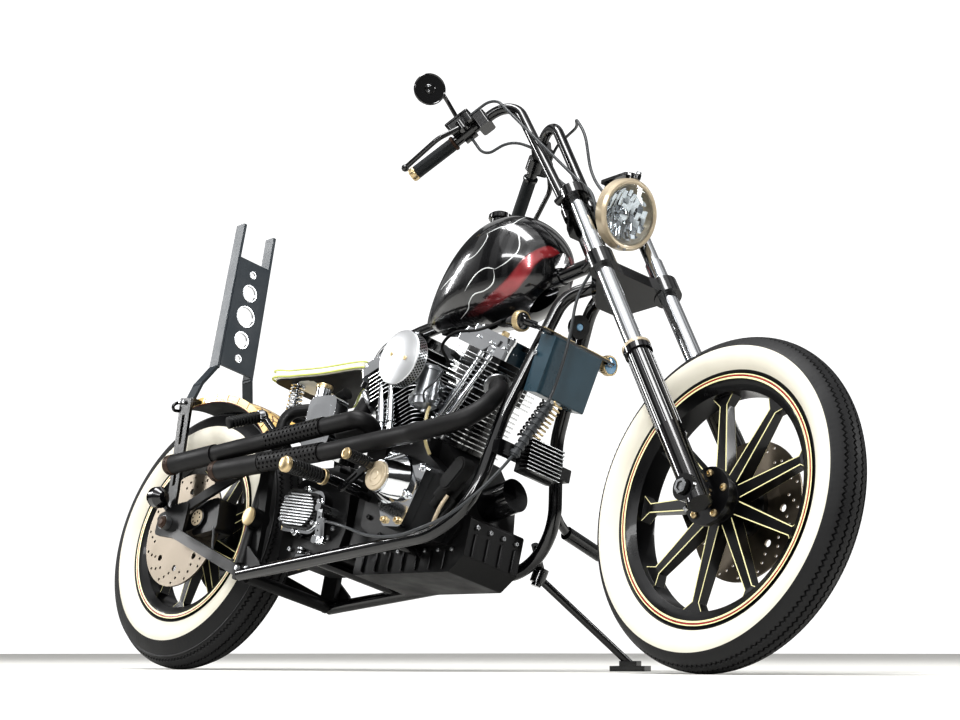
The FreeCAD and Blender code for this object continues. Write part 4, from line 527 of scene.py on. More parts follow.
def grained(tree, shader, tint, other_tint, metallic, low, high, coat, grain, depth):
    """Colour and gloss vary in patches, and a fine grain lifts the surface."""
    patches = noise(tree, 14.0, 4.0)
    fine = noise(tree, 1.0 / (grain * MM), 3.0)
    bump = add(tree, "ShaderNodeBump", Height=fine, Strength=0.6, Distance=depth * MM)
    fill(tree, shader, Base_Color=blend(tree, patches, linear(tint), linear(other_tint)),
         Roughness=rescale(tree, patches, 0.3, 0.7, low, high), Normal=bump.outputs[0],
         Metallic=metallic, Coat_Weight=coat, Coat_Roughness=0.06,
         Specular_IOR_Level=0.25 if low > 0.25 else 0.45)


def flake_lacquer(tree, shader):
    """Black flake lacquer on steel; the sweep attribute airbrushes candy red into it."""
    place = add(tree, "ShaderNodeTexCoord").outputs["Object"]
    flakes = add(tree, "ShaderNodeTexVoronoi", Vector=place, Scale=FLAKES_PER_METRE)
    spark = rescale(tree, flakes.outputs["Color"], 0.72, 1.0, 0.0, 0.5)
    black = blend(tree, spark, linear("040405"), linear("4A4A52"))
    candy = blend(tree, noise(tree, 30.0, 2.0), linear("6A1519"), linear("9E3A3F"))
    sweep = add(tree, "ShaderNodeAttribute", {"attribute_name": "sweep"}).outputs["Fac"]
    fill(tree, shader, Base_Color=blend(tree, sweep, black, candy), Metallic=0.3, Roughness=0.22,
         Coat_Weight=1.0, Coat_Roughness=0.03)


def pressed_glass(tree, shader):
    """Pressed clear glass of the headlamp: colourless, with a faint ripple from the mould."""
    bump = add(tree, "ShaderNodeBump", Height=noise(tree, 60.0, 1.0), Strength=0.3,
               Distance=0.2 * MM)
    fill(tree, shader, Base_Color=linear("F4F8FA"), Normal=bump.outputs[0],
         Transmission_Weight=1.0, Roughness=0.02, IOR=1.45)


def floor_coat(tree, shader):
    """Pale matt floor coat: even, with the faintest cloud of wear."""
    tint = blend(tree, noise(tree, 0.8, 3.0), linear("D9D8D4"), linear("E1E0DC"))
    fill(tree, shader, Base_Color=tint, Roughness=0.55)


OWN_RECIPES = {
    "flake_lacquer": flake_lacquer, "pressed_glass": pressed_glass, "floor_coat": floor_coat}


def finish(name):
    """The material of that name, built when it is first asked for."""
    material = bpy.data.materials.get(name)
    if material is None:
        material = bpy.data.materials.new(name)
        material.use_nodes = True
        tree = material.node_tree
        recipe = OWN_RECIPES.get(name, grained)
        recipe(tree, tree.nodes["Principled BSDF"], *FINISHES.get(name, ()))
    return material


# Meshes

def put(name, data, spot=(0, 0, 0), turn=(0, 0, 0)):
    """Adds an object to the scene."""
    made = bpy.data.objects.new(name, data)
    made.location = spot
    made.rotation_euler = turn
    bpy.context.scene.collection.objects.link(made)
    return made


class Piece:
    """The surfaces of one piece, in millimetres of the upright motorcycle."""

    def __init__(self):
        self.bm = bmesh.new()
        self.finishes = []

    def slot(self, name):
        if name not in self.finishes:
            self.finishes.append(name)
        return self.finishes.index(name)

    def face(self, corners, index, smooth=True):
        face = self.bm.faces.new(corners)
        face.material_index = index
        face.smooth = smooth

    def skin(self, rings, name, closed=False, caps=False, smooth=True):
        """Joins rings of points into a surface; a ring of one point makes a tip."""
        index = self.slot(name)
        grid = [[self.bm.verts.new(p) for p in ring] for ring in rings]
        for a, b in zip(grid, grid[1:] + (grid[:1] if closed else [])):
            count = max(len(a), len(b))
            for i in range(count):
                j = (i + 1) % count
                corners = [a[i % len(a)], a[j % len(a)], b[j % len(b)], b[i % len(b)]]
                corners = [c for k, c in enumerate(corners) if c not in corners[:k]]
                if len(corners) > 2:
                    self.face(corners, index, smooth)
        if caps:
            self.face(grid[0][::-1], index, False)
            self.face(grid[-1], index, False)

    def lathe(self, shape, centre, axis, name, steps=40):
        """Turns a named shape or (radius, height) corners; a radius of zero makes a tip."""
        axis = axis.normalized()
        side = axis.cross(ASIDE).normalized()
        spokes = circle(steps, side, axis.cross(side))
        rings = []
        for radius, height in SHAPES.get(shape, shape):
            middle = centre + axis * height
            rings.append([middle + spoke * radius for spoke in spokes] if radius else [middle])
        self.skin(rings, name)

    def rod(self, start, end, radius, name, steps, edge=0.0):
        """A round bar with chamfered ends."""
        line = end - start
        long = line.length
        edge = min(edge, radius * 0.5)
        self.lathe(((0, 0), (radius - edge, 0), (radius, edge), (radius, long - edge),
                    (radius - edge, long), (0, long)), start, line, name, steps)

    def bolt(self, centre, axis, radius, height, name, sides=12):
        """A socket-head bolt with a chamfered rim; six sides make it a hexagon."""
        self.lathe(((radius, 0), (radius, height * 0.75), (radius * 0.82, height),
                    (radius * 0.4, height), (radius * 0.4, height * 0.55), (0, height * 0.5)),
                   centre, axis, name, sides)

    def sweep(self, path, radius, name, sides):
        """A round bar along a path."""
        rings = []
        normal = (path[1] - path[0]).normalized().orthogonal().normalized()
        for i, point in enumerate(path):
            ahead = (path[min(i + 1, len(path) - 1)] - path[max(i - 1, 0)]).normalized()
            normal = (normal - ahead * normal.dot(ahead)).normalized()
            outs = circle(sides, normal, ahead.cross(normal))
            rings.append([point + out * radius for out in outs])
        self.skin(rings, name, caps=True)

    def helix(self, base, top, radius, wire, rounds, name):
        """A coil spring of wire."""
        line = (top - base).normalized()
        side = line.orthogonal().normalized()
        count = rounds * 20
        path = []
        for i in range(count + 1):
            angle = 2 * math.pi * rounds * i / count
            path.append(base + (top - base) * (i / count)
                        + (side * math.cos(angle) + line.cross(side) * math.sin(angle)) * radius)
        self.sweep(path, wire, name, 8)

    def pad(self, centre, u, v, plate, name):
        """A rounded plate, thick along u cross v, given by its name or its sizes."""
        width, height, corner, thick, edge = PLATES.get(plate, plate)
        u = u.normalized()
        w = u.cross(v).normalized()
        v = w.cross(u)
        rings = []
        for inset, rise in ((0, 0), (0, thick - edge), (edge, thick)):
            outline = rounded_outline(
                width - 2 * inset, height - 2 * inset, max(0.5, corner - inset))
            rings.append([centre + u * a + v * b + w * rise for a, b in outline])
        self.skin(rings, name, caps=True)

    def ribs(self, start, line, radius, rise, first, pitch, count, steps):
        """Rubber rings at even steps along a line."""
        for i in range(count):
            self.lathe(((radius, 0), (radius + rise, 1), (radius + rise, 4), (radius, 5)),
                       start + line * (first + pitch * i), line, RUBBER, steps)

    def stroke(self, surface, spots, width, name, ends=0.25):
        """A brushed line: a low ribbon on the surface, at the points nearest to the given ones."""
        hits = [surface.find_nearest(spot)[:2] for spot in spots]
        last = len(hits) - 1
        rings = []
        for i, (spot, normal) in enumerate(hits):
            across = (hits[min(i + 1, last)][0] - hits[max(i - 1, 0)][0]).cross(normal).normalized()
            near_end = min(i, last - i) / max(1, len(hits) * ends * 0.5)
            half = width / 2 * min(1.0, 0.25 + near_end)
            rings.append([spot + across * (half * share) + normal * rise for share, rise in (
                (1, -0.2), (0.6, 0.3), (-0.6, 0.3), (-1, -0.2))])
        self.skin(rings, name, caps=True)

    def make(self, name, body="frame"):
        """Makes the object, in the space of its CAD body, and lets it ride there."""
        bmesh.ops.recalc_face_normals(self.bm, faces=self.bm.faces[:])
        bmesh.ops.scale(self.bm, vec=(MM, MM, MM), verts=self.bm.verts[:])
        mesh = bpy.data.meshes.new(name)
        self.bm.to_mesh(mesh)
        self.bm.free()
        for material in self.finishes:
            mesh.materials.append(finish(material))
        obj = put(name, mesh)
        obj.matrix_world = SPACES[body]
        mesh.set_sharp_from_angle(angle=SHARP)
        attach(obj, body)
        return obj


def dress(node, name, bevel=BEVEL):
    """Gives a CAD node its finish and softens its edges; flat plates have no bevel."""
    obj = NODES[node]
    obj.data.materials.clear()
    obj.data.materials.append(finish(name))
    for polygon in obj.data.polygons:
        polygon.use_smooth = bevel > 0
        polygon.material_index = 0
    if bevel:
        weld = obj.modifiers.new("weld", "WELD")
        weld.merge_threshold = WELD
        edge = obj.modifiers.new("edge", "BEVEL")
        edge.width = bevel * MM
        edge.segments = 2
        edge.limit_method = "ANGLE"
        edge.angle_limit = BEVELLED
        edge.harden_normals = True
        even = obj.modifiers.new("even", "WEIGHTED_NORMAL")
        even.weight = 100
    return obj


def surface_of(node):
    """The outside of a node, in millimetres of the upright motorcycle."""
    mesh = NODES[node].data
    upright = PARKED.inverted()
    corners = [upright @ vertex.co / MM for vertex in mesh.vertices]
    return BVHTree.FromPolygons(corners, [tuple(face.vertices) for face in mesh.polygons])


def sided(line, side, count):
    """A smooth line through points of the right side, or its mirror image for side 1."""
    return smooth_line([(x, -side * y, z) for x, y, z in line], count)


# Wheels

def tyre(end):
    """Ribbed road tyre with sawtooth grooves and a wide white band on each side."""
    centre, radius, half, rim_r, rim_half = WHEELS[end]
    ring_r = radius - CROWN
    tread_half = half - 4
    shoulder_r = ring_r + math.sqrt(CROWN ** 2 - tread_half ** 2)
    bead_half = rim_half - BEAD_IN
    columns = []
    for k in range(RIBS):
        low = -tread_half + 2 * tread_half * k / RIBS + (GROOVE / 2 if k else 0)
        edge = -tread_half + 2 * tread_half * (k + 1) / RIBS
        last = k == RIBS - 1
        high = edge - (0 if last else GROOVE / 2)
        columns += [(low, 0.0, k > 0), ((low + high) / 2, 0.0, False), (high, 0.0, not last)]
        if not last:
            columns += [(edge + GROOVE * share, GROOVE_DEPTH, True) for share in (-0.3, 0.3)]
    wall = []
    for t in WALL_SHARES:
        bulge = (half - (tread_half + bead_half) / 2) * 4 * t * (1 - t)
        wall.append((shoulder_r + (rim_r + 2 - shoulder_r) * t,
                     tread_half + (bead_half - tread_half) * t + bulge
                     + (BAND_LIFT if 0.15 < t < 0.85 else 0.0)))
    bead_r = rim_r - BEAD_DEPTH
    wall += [(rim_r + 2, bead_half), (bead_r, bead_half)]
    inner = [(bead_r, bead_half - BEAD_THICK), (ring_r + 40, half - 16), (radius - 10, 0),
             (ring_r + 40, -half + 16), (bead_r, -bead_half + BEAD_THICK)]
    piece = Piece()
    rings = []
    for i, out in enumerate(circle(2 * TEETH)):
        tread = []
        for y, deep, zigzag in columns:
            shift = y + ((ZIGZAG if i % 2 else -ZIGZAG) if zigzag else 0)
            shift = max(-tread_half, min(tread_half, shift))
            r = ring_r + math.sqrt(CROWN ** 2 - shift ** 2) - deep
            if not deep and abs(y) > tread_half * 0.98 and i % 2:
                r -= TOOTH_STEP
            tread.append((r, shift))
        section = [(r, -y) for r, y in wall[::-1]] + tread + wall + inner
        rings.append([centre + out * r + LEFT * y for r, y in section])
    piece.skin(rings, "tyre_rubber", closed=True)
    white = piece.slot("white_rubber")
    for face in piece.bm.faces:
        mid = face.calc_center_median() - centre
        if rim_r + 10 < math.hypot(mid.x, mid.z) < shoulder_r - 9 and abs(mid.y) > bead_half + 2:
            face.material_index = white
    node = end + "_tyre"
    obj = piece.make(node + "_skin", end + "_wheel_unit")
    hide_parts(node)


def wheel_trim(end):
    """Signwritten rings and spoke edges, the front hub's button bolts and the valve."""
    centre, rim_r, rim_half = WHEELS[end][0], *WHEELS[end][3:]
    inner_r = rim_r - RIM_DEPTH
    piece = Piece()
    for side in SIDES:
        low_y, high_y = (side * rim_half + side * rise for rise in (-0.3, 0.3))
        for low, high, paint in RIM_RINGS:
            piece.lathe(
                ((rim_r - low, low_y), (rim_r - low + 0.3, high_y),
                 (rim_r - high - 0.3, high_y), (rim_r - high, low_y)), centre, LEFT, paint, 120)
        for out in circle(SPOKES, phase=0.5):
            across = out.cross(LEFT)
            for edge in SIDES:
                rings = []
                for reach, half, deep in SPOKE_EDGE:
                    along = reach if reach < 100 else inner_r - (200 - reach)
                    spot = (centre + out * along + across * (edge * (half - 1.4))
                            + LEFT * (side * (deep + 0.1)))
                    rings.append([spot + across * (edge * a) + LEFT * (side * b) for a, b in (
                        (-1.3, -0.5), (-0.9, 0.35), (0.9, 0.35), (1.3, -0.5))])
                piece.skin(rings, "cream_enamel", caps=True)
    if end == "front":
        for out in circle(5, phase=0.25):
            spot = centre + out * HUB_BOLT_R - LEFT * HUB_BOLT_Y
            piece.lathe("hub_button", spot, -LEFT, BRASS, 20)
    valve = centre + Vector((math.cos(VALVE_TURN), 0, math.sin(VALVE_TURN))) * (inner_r + 1)
    aim = (centre - valve).normalized()
    piece.rod(valve - LEFT * 8, valve - LEFT * 10 + aim * 26, 4.0, STEEL, 12, 0.6)
    piece.rod(valve - LEFT * 10 + aim * 26, valve - LEFT * 11 + aim * 34, 5.2, RUBBER, 12, 1.0)
    piece.make(end + "_wheel_trim", end + "_wheel_unit")


# Engine

def fin_edge(piece, side, rise, length, width, corner):
    """The buffed rim of one cooling fin."""
    line, across = cylinder_axes(side)
    outline = rounded_outline(length, width, corner, 6)
    rings = []
    for i, (a, b) in enumerate(outline):
        spot = along_cylinder(side, rise) + across * a + LEFT * b
        before = outline[i - 1]
        after = outline[(i + 1) % len(outline)]
        out = (across * (after[1] - before[1]) - LEFT * (after[0] - before[0])).normalized()
        rings.append([spot + out * reach + line * height for reach, height in (
            (-0.6, -1.3), (0.35, -1.1), (0.35, 1.1), (-0.6, 1.3))])
    piece.skin(rings, BUFFED, closed=True)


def rocker_trim(piece, side):
    """The gaskets, bolts and spark plug of one rocker box."""
    line, across = cylinder_axes(side)
    for level, length, width, corner in (
            (21.7, ROCKER_LEN - 10, 2 * ROCKER_HALF - 8, 12),
            (36.7, ROCKER_LEN - 30, 2 * ROCKER_HALF - 30, 14)):
        piece.pad(along_cylinder(side, ROCKER_RISE + level), across, -LEFT,
                  (length, width, corner, 1.2, 0.3), CASTING)
    for level, places, inset, radius in (
            (22.4, (-76, -26, 26, 76), 4, 5.0), (50.3, (-58, 58), 30, 6.0)):
        for ahead in places:
            for y in SIDES:
                spot = along_cylinder(side, ROCKER_RISE + level, ahead, y * (ROCKER_HALF - inset))
                piece.bolt(spot, line, radius, 6.0, CHROME)
    piece.bolt(along_cylinder(side, ROCKER_RISE + 50.3, 0, -24), line, 9.0, 12.0, BRASS, 6)
    piece.rod(along_cylinder(side, ROCKER_RISE + 12, 40, -ROCKER_HALF),
              along_cylinder(side, ROCKER_RISE + 12, 40, -ROCKER_HALF - 5), 9.0, CHROME, 24, 1.2)
    plug = along_cylinder(side, HEAD_RISE + 44, -side * 34, -FIN_HALF - 6)
    piece.rod(plug, plug - LEFT * 14, 8.0, STEEL, 6, 0.8)
    piece.rod(plug - LEFT * 12, plug - LEFT * 34 + UP * 6, 7.0, RUBBER, 16, 2.0)


def lifter_trim(piece, side):
    """The sleeves of one cylinder's pushrod tubes, and the bolts of their lifter block."""
    x = CRANK.x + side * LIFTER_OUT
    for ahead in (-17, 17):
        low = Vector((x + ahead * 0.9, -98.0, LIFTER_TOP))
        high = along_cylinder(side, ROCKER_RISE + 6, ahead + side * 18, -58.0)
        line = (high - low).normalized()
        for foot, start, end, radius, edge in (
                (low, 1, 16, 12.5, 2.0), (low, 62, 70, 11.0, 1.4), (low, 70, 132, 9.4, 1.0),
                (high, -26, -8, 11.0, 1.6)):
            piece.rod(foot + line * start, foot + line * end, radius, CHROME, 24, edge)
    for shift in (-25, 25):
        piece.bolt(Vector((x + shift, -116.2, LIFTER_TOP - 12)), -LEFT, 4.6, 5.0, CHROME, 6)


# Seat

def seat_ring(outline, share, level):
    """The seat's outline drawn in to a share, at a share of the cushion's height."""
    ring = []
    for spot in outline:
        at = SEAT_MIDDLE + (spot - SEAT_MIDDLE) * share
        low = SEAT_LOW + max(0.0, at.x - SEAT_BEND) * SEAT_SLOPE
        thick = SEAT_THICK + max(0.0, SEAT_TAIL - at.x) * TAIL_GROWTH
        ring.append(Vector((at.x, at.y, low + thick * level)))
    return ring


def bake(obj):
    """Applies an object's modifiers to its mesh."""
    graph = bpy.context.evaluated_depsgraph_get()
    mesh = bpy.data.meshes.new_from_object(obj.evaluated_get(graph))
    obj.modifiers.clear()
    obj.data = mesh


def puff(obj, cap):
    """Swells a closed form as cloth under pressure, its base held, each point within the cap."""
    start = [vertex.co.copy() for vertex in obj.data.vertices]
    low = min(point.z for point in start)
    held = [i for i, point in enumerate(start)
            if point.z - low - max(0.0, point.x - SEAT_BEND * MM) * HELD_SLOPE < HELD]
    obj.vertex_groups.new(name="base").add(held, 1.0, "REPLACE")
    cloth = obj.modifiers.new("cloth", "CLOTH")
    cloth.settings.use_pressure = True
    cloth.settings.uniform_pressure_force = PRESSURE
    cloth.settings.effector_weights.gravity = 0.0
    cloth.settings.vertex_group_mass = "base"
    scene = bpy.context.scene
    for step in range(1, PUFF_STEPS + 1):
        scene.frame_set(step)
    swollen = obj.evaluated_get(bpy.context.evaluated_depsgraph_get())
    ends = [vertex.co.copy() for vertex in swollen.data.vertices]
    obj.modifiers.remove(cloth)
    for vertex, first, last in zip(obj.data.vertices, start, ends):
        shift = last - first
        if shift.length > cap:
            shift *= cap / shift.length
        vertex.co = first + shift
    scene.frame_set(1)


# Operators: one for each piece or group of like pieces

class ChopperSettings(bpy.types.PropertyGroup):
    """Sizes and colours that a user would change."""

    lens: FloatProperty(
        name="Lens", description="Focal length of the camera", default=89.655, unit="CAMERA")
    floor_size: FloatProperty(
        name="Floor", description="Side of the floor", default=60.0, unit="LENGTH")
    sky: FloatProperty(name="Sky light", description="Strength of the even light", default=1.0)


class CHOPPER_OT_stage(bpy.types.Operator):
    """Sets the camera, the lights and the floor"""

    bl_idname = "chopper.stage"
    bl_label = "Camera, lights and floor"

    def execute(self, context):
        scene = context.scene
        settings = scene.chopper
        camera = bpy.data.cameras.new("camera")
        camera.sensor_width = 36.0
        camera.sensor_fit = "HORIZONTAL"
        camera.lens = settings.lens
        camera.clip_end = 200.0
        scene.camera = put("camera", camera, CAMERA_SPOT, CAMERA_TURN)
        half = settings.floor_size / 2
        mesh = bpy.data.meshes.new("floor")
        mesh.from_pydata([(-half, -half, 0), (half, -half, 0), (half, half, 0), (-half, half, 0)],
                         [], [(0, 1, 2, 3)])
        mesh.materials.append(finish("floor_coat"))
        floor = put("floor", mesh)
        scene.view_settings.view_transform = "Standard"
        scene.view_settings.look = "Medium High Contrast"
        world = bpy.data.worlds.new("studio")
        world.use_nodes = True
        tree = world.node_tree
        way = add(tree, "ShaderNodeTexCoord").outputs["Generated"]
        height = add(tree, "ShaderNodeSeparateXYZ", Vector=way).outputs["Z"]
        panes = add(tree, "ShaderNodeTexWave", Vector=way, Scale=1.1, Distortion=0.6)
        light = add(tree, "ShaderNodeMath", {"operation": "MULTIPLY"},
                    _0=rescale(tree, height, -0.1, 0.75, 0.12, 0.42),
                    _1=rescale(tree, panes.outputs["Fac"], 0.45, 0.55, 0.25, 1.4))
        seen = add(tree, "ShaderNodeLightPath").outputs["Is Camera Ray"]
        level = add(tree, "ShaderNodeMix", {"data_type": "FLOAT"}, _0=seen, _2=light.outputs[0],
                    _3=1.0)
        fill(tree, tree.nodes["Background"], Strength=level.outputs[0],
             Color=(settings.sky, settings.sky, settings.sky, 1.0))
        scene.world = world
        sun = bpy.data.lights.new("sky_window", "SUN")
        sun.energy = 1.0
        sun.angle = math.radians(80)
        put("sky_window", sun, turn=(math.radians(25), math.radians(15), 0.0))
        for name, spot, size, power in LAMPS:
            lamp = bpy.data.lights.new(name, "AREA")
            lamp.shape = "RECTANGLE"
            lamp.size, lamp.size_y = size
            lamp.energy = power
            aim = LAMP_TARGET - Vector(spot)
            put(name, lamp, spot, aim.to_track_quat("-Z", "Y").to_euler())
        return {"FINISHED"}


class CHOPPER_OT_tyres(bpy.types.Operator):
    """Makes both tyres with their tread and white bands"""

    bl_idname = "chopper.tyres"
    bl_label = "Tyres"

    def execute(self, context):
        for end in WHEELS:
            tyre(end)
        return {"FINISHED"}


class CHOPPER_OT_wheels(bpy.types.Operator):
    """Adds the pinstripes, bolts and valves of both wheels"""

    bl_idname = "chopper.wheels"
    bl_label = "Wheel trim"

    def execute(self, context):
        for end in WHEELS:
            wheel_trim(end)
        return {"FINISHED"}


class CHOPPER_OT_tank(bpy.types.Operator):
    """Paints the tank: flake lacquer, silver flame outlines and the red sweep"""

    bl_idname = "chopper.tank"
    bl_label = "Tank paint"

    def execute(self, context):
        dress("fuel_tank", "flake_lacquer", 0.6)
        surface = surface_of("fuel_tank")
        flames = Piece()
        for side in SIDES:
            for line in TANK_FLAMES:
                flames.stroke(surface, sided(line, side, 10), 3.4, "silver_enamel", 0.5)
        flames.make("tank_flames")
        sweep = Piece()
        level = sweep.bm.verts.layers.float.new("sweep")
        index = sweep.slot("flake_lacquer")
        for side in SIDES:
            edges = list(zip(sided(SWEEP_TOP, side, 6), sided(SWEEP_LOW, side, 6)))
            rows = []
            for i, (top, low) in enumerate(edges):
                fade = min(1.0, (len(edges) - 1 - i) / 24)
                row = []
                for k in range(SWEEP_COLUMNS + 1):
                    share = 1.2 * k / SWEEP_COLUMNS - 0.1
                    spot, normal = surface.find_nearest(top.lerp(low, share))[:2]
                    shown = max(0.0, min(1.0, share * 5, (1 - share) * 5)) * fade
                    vert = sweep.bm.verts.new(spot + normal * (0.15 if shown > 0.01 else -0.1))
                    vert[level] = shown
                    row.append(vert)
                rows.append(row)
            for a, b in zip(rows, rows[1:]):
                for k in range(SWEEP_COLUMNS):
                    sweep.face((a[k], a[k + 1], b[k + 1], b[k]), index)
        sweep.make("tank_sweep")
        cap = Piece()
        cap.lathe("fuel_cap", FUEL_CAP, CAP_AIM, STEEL, 32)
        for out in square_to(CAP_AIM, 24, 0.3):
            cap.rod(FUEL_CAP + CAP_AIM * 30 + out * 27, FUEL_CAP + CAP_AIM * 39 + out * 27, 1.3,
                    BLACK, 6)
        cap.rod(FUEL_CAP + CAP_AIM * 6, FUEL_CAP + CAP_AIM * 8, 30.2, BRASS, 40, 0.6)
        cap.make("fuel_cap_trim")
        return {"FINISHED"}


class CHOPPER_OT_fender(bpy.types.Operator):
    """Paints the rear fender: cream gloss with dark red flame lines"""

    bl_idname = "chopper.fender"
    bl_label = "Rear fender paint"

    def execute(self, context):
        shell = dress("rear_fender", "fender_enamel", 0.5).data
        # Painted shade: faces turned towards the axle take matt black, standing in for the shadow
        # inside the fender
        shell.materials.append(finish(RUBBER))
        for polygon in shell.polygons:
            spot = PARKED.inverted() @ polygon.center / MM
            facing = PARKED.to_3x3().inverted() @ polygon.normal
            if facing.dot(spot - REAR_AXLE) < 0:
                polygon.material_index = 1
        surface = surface_of("rear_fender")
        flames = Piece()
        lines = [(FENDER_ARCH, 0, 5.0, 0.02)]
        lines += [(FENDER_FLAME, 104 - 10 * i, 4.0, 0.25) for i in range(6)]
        for side in SIDES:
            for line, start, width, ends in lines:
                path = smooth_line([(start + turn, side * y) for turn, y in line])
                spots = [fender_point(at.x, FENDER_R, at.y) for at in path]
                flames.stroke(surface, spots, width, MAROON, ends)
        flames.make("fender_flames")
        lip = Piece()
        for side in SIDES:
            for turn in LIP_TURNS[2::4]:
                lip.rod(fender_point(turn, 340.0, side * 79.6),
                        fender_point(turn, 356.0, side * 79.0), 1.3, MAROON, 8)
            lip.skin([[fender_point(turn, reach, side * y) for reach, y in LIP_SECTION]
                      for turn in LIP_TURNS], "fender_enamel", caps=True)
            edge = [fender_point(turn, 336.0, side * 79.2) for turn in LIP_TURNS]
            lip.sweep(edge, 1.6, MAROON, 8)
        lip.make("fender_lip")
        return {"FINISHED"}


class CHOPPER_OT_seat(bpy.types.Operator):
    """Makes the seat's cushion, its welt and its coil springs"""

    bl_idname = "chopper.seat"
    bl_label = "Seat"

    def execute(self, context):
        outline = smooth_line(SEAT_OUTLINE, 10, True)
        piece = Piece()
        piece.skin([seat_ring(outline, *row) for row in SEAT_RINGS], "white_hide", caps=True)
        cushion = piece.make("seat_cushion")
        remesh = cushion.modifiers.new("remesh", "REMESH")
        remesh.mode = "VOXEL"
        remesh.voxel_size = 4.5 * MM
        remesh.use_smooth_shade = True
        bake(cushion)
        puff(cushion, SWELL)
        for polygon in cushion.data.polygons:
            polygon.use_smooth = True
        soft = cushion.modifiers.new("round", "SUBSURF")
        soft.levels = 1
        soft.render_levels = 1
        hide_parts("seat")
        welt = Piece()
        for share, level, radius in ((1.0, 0.16, 2.6), (0.995, 0.82, 2.2)):
            path = seat_ring(outline, share, level)
            welt.sweep(path + path[:2], radius, "piping_vinyl", 8)
        pan = seat_ring(outline, 0.93, 0.0)
        welt.skin([[spot - UP * drop for spot in pan] for drop in (0.2, 3.0)], RUBBER, caps=True,
                  smooth=False)
        welt.make("seat_welt")
        coils = Piece()
        for side in SIDES:
            base = Vector((314.0, side * 62.0, 620.4))
            top = Vector((314.0, side * 62.0, 693.6))
            coils.helix(base + UP * 6, top - UP * 6, 15.5, 2.7, 6, CHROME)
            coils.lathe("spring_seat", base, UP, CHROME, 28)
            coils.lathe("spring_seat", top, -UP, CHROME, 28)
            coils.rod(base, top, 4.5, STEEL, 14)
        springs = coils.make("seat_coils")
        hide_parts("seat_springs")
        return {"FINISHED"}


class CHOPPER_OT_engine(bpy.types.Operator):
    """Dresses the V-twin: fin rims, rocker bolts, air cleaner, covers and hoses"""

    bl_idname = "chopper.engine"
    bl_label = "Engine dress"

    def execute(self, context):
        fins = Piece()
        tops = Piece()
        for side in SIDES:
            for low, high, wider, corner in (
                    (DECK_RISE + 14, HEAD_RISE - FIN_PITCH / 2, 0, 26),
                    (HEAD_RISE + FIN_T, ROCKER_RISE - 12, 14, 18)):
                for i in range(math.ceil((high - low) / FIN_PITCH)):
                    fin_edge(fins, side, low + i * FIN_PITCH, FIN_LEN + wider,
                             2 * FIN_HALF + wider, corner)
            rocker_trim(tops, side)
        fins.make("fin_rims")
        tops.make("rocker_trim")

        cleaner = Piece()
        cleaner.lathe("cleaner_face", CLEANER, -LEFT, "brushed_aluminium", 72)
        cleaner.lathe("cleaner_band", CLEANER, -LEFT, "brushed_aluminium", 72)
        # Painted shade: the band's perforations are flat black studs standing in for the shadow in
        # each hole
        for row in range(4):
            for out in circle(54, phase=0.5 * (row % 2)):
                spot = CLEANER + LEFT * (5.5 + row * 5.6) + out * 62.6
                cleaner.rod(spot, spot + out * 1.4, 2.2, PAINTED_SHADE, 8)
        for x, z in ((-24, 8), (26, -6)):
            cleaner.lathe("cleaner_rivet", CLEANER + Vector((x, -2.6, z)), -LEFT, BRASS, 18)
        cleaner.make("air_cleaner_face")

        case = Piece()
        case.lathe("timing_cover", Vector((840, CASE_Y - 70, 391)), -LEFT, BEIGE, 64)
        for x, z, metal in CAM_SCREWS:
            case.lathe("cam_screw", Vector((x, CAM_Y, z)), -LEFT, metal, 18)
        for x, z in CASE_SCREWS:
            case.bolt(Vector((x, CASE_Y - 0.2, z)), -LEFT, 5.5, 5.5, BLACK)
        for side in SIDES:
            lifter_trim(case, side)
        for x in range(720, 991, 45):
            case.pad(Vector((x, SUMP_Y, 228)), UP, -FORE, "sump_rib", CASTING)
        for x in range(702, 1011, 44):
            case.bolt(Vector((x, SUMP_Y, 250)), -LEFT, 5.0, 5.0, STEEL)
        for y in range(-50, 71, 40):
            case.bolt(Vector((SUMP_X + 0.2, y, 304)), FORE, 6.0, 6.0, STEEL, 6)
            case.pad(Vector((SUMP_X, y, 264)), LEFT, UP, "front_rib", CASTING)
        case.make("crankcase_trim")

        hoses = Piece()
        for points, count, radius, name, sides in HOSES:
            hoses.sweep(smooth_line(points, count), radius, name, sides)
        hoses.make("engine_hoses")
        return {"FINISHED"}


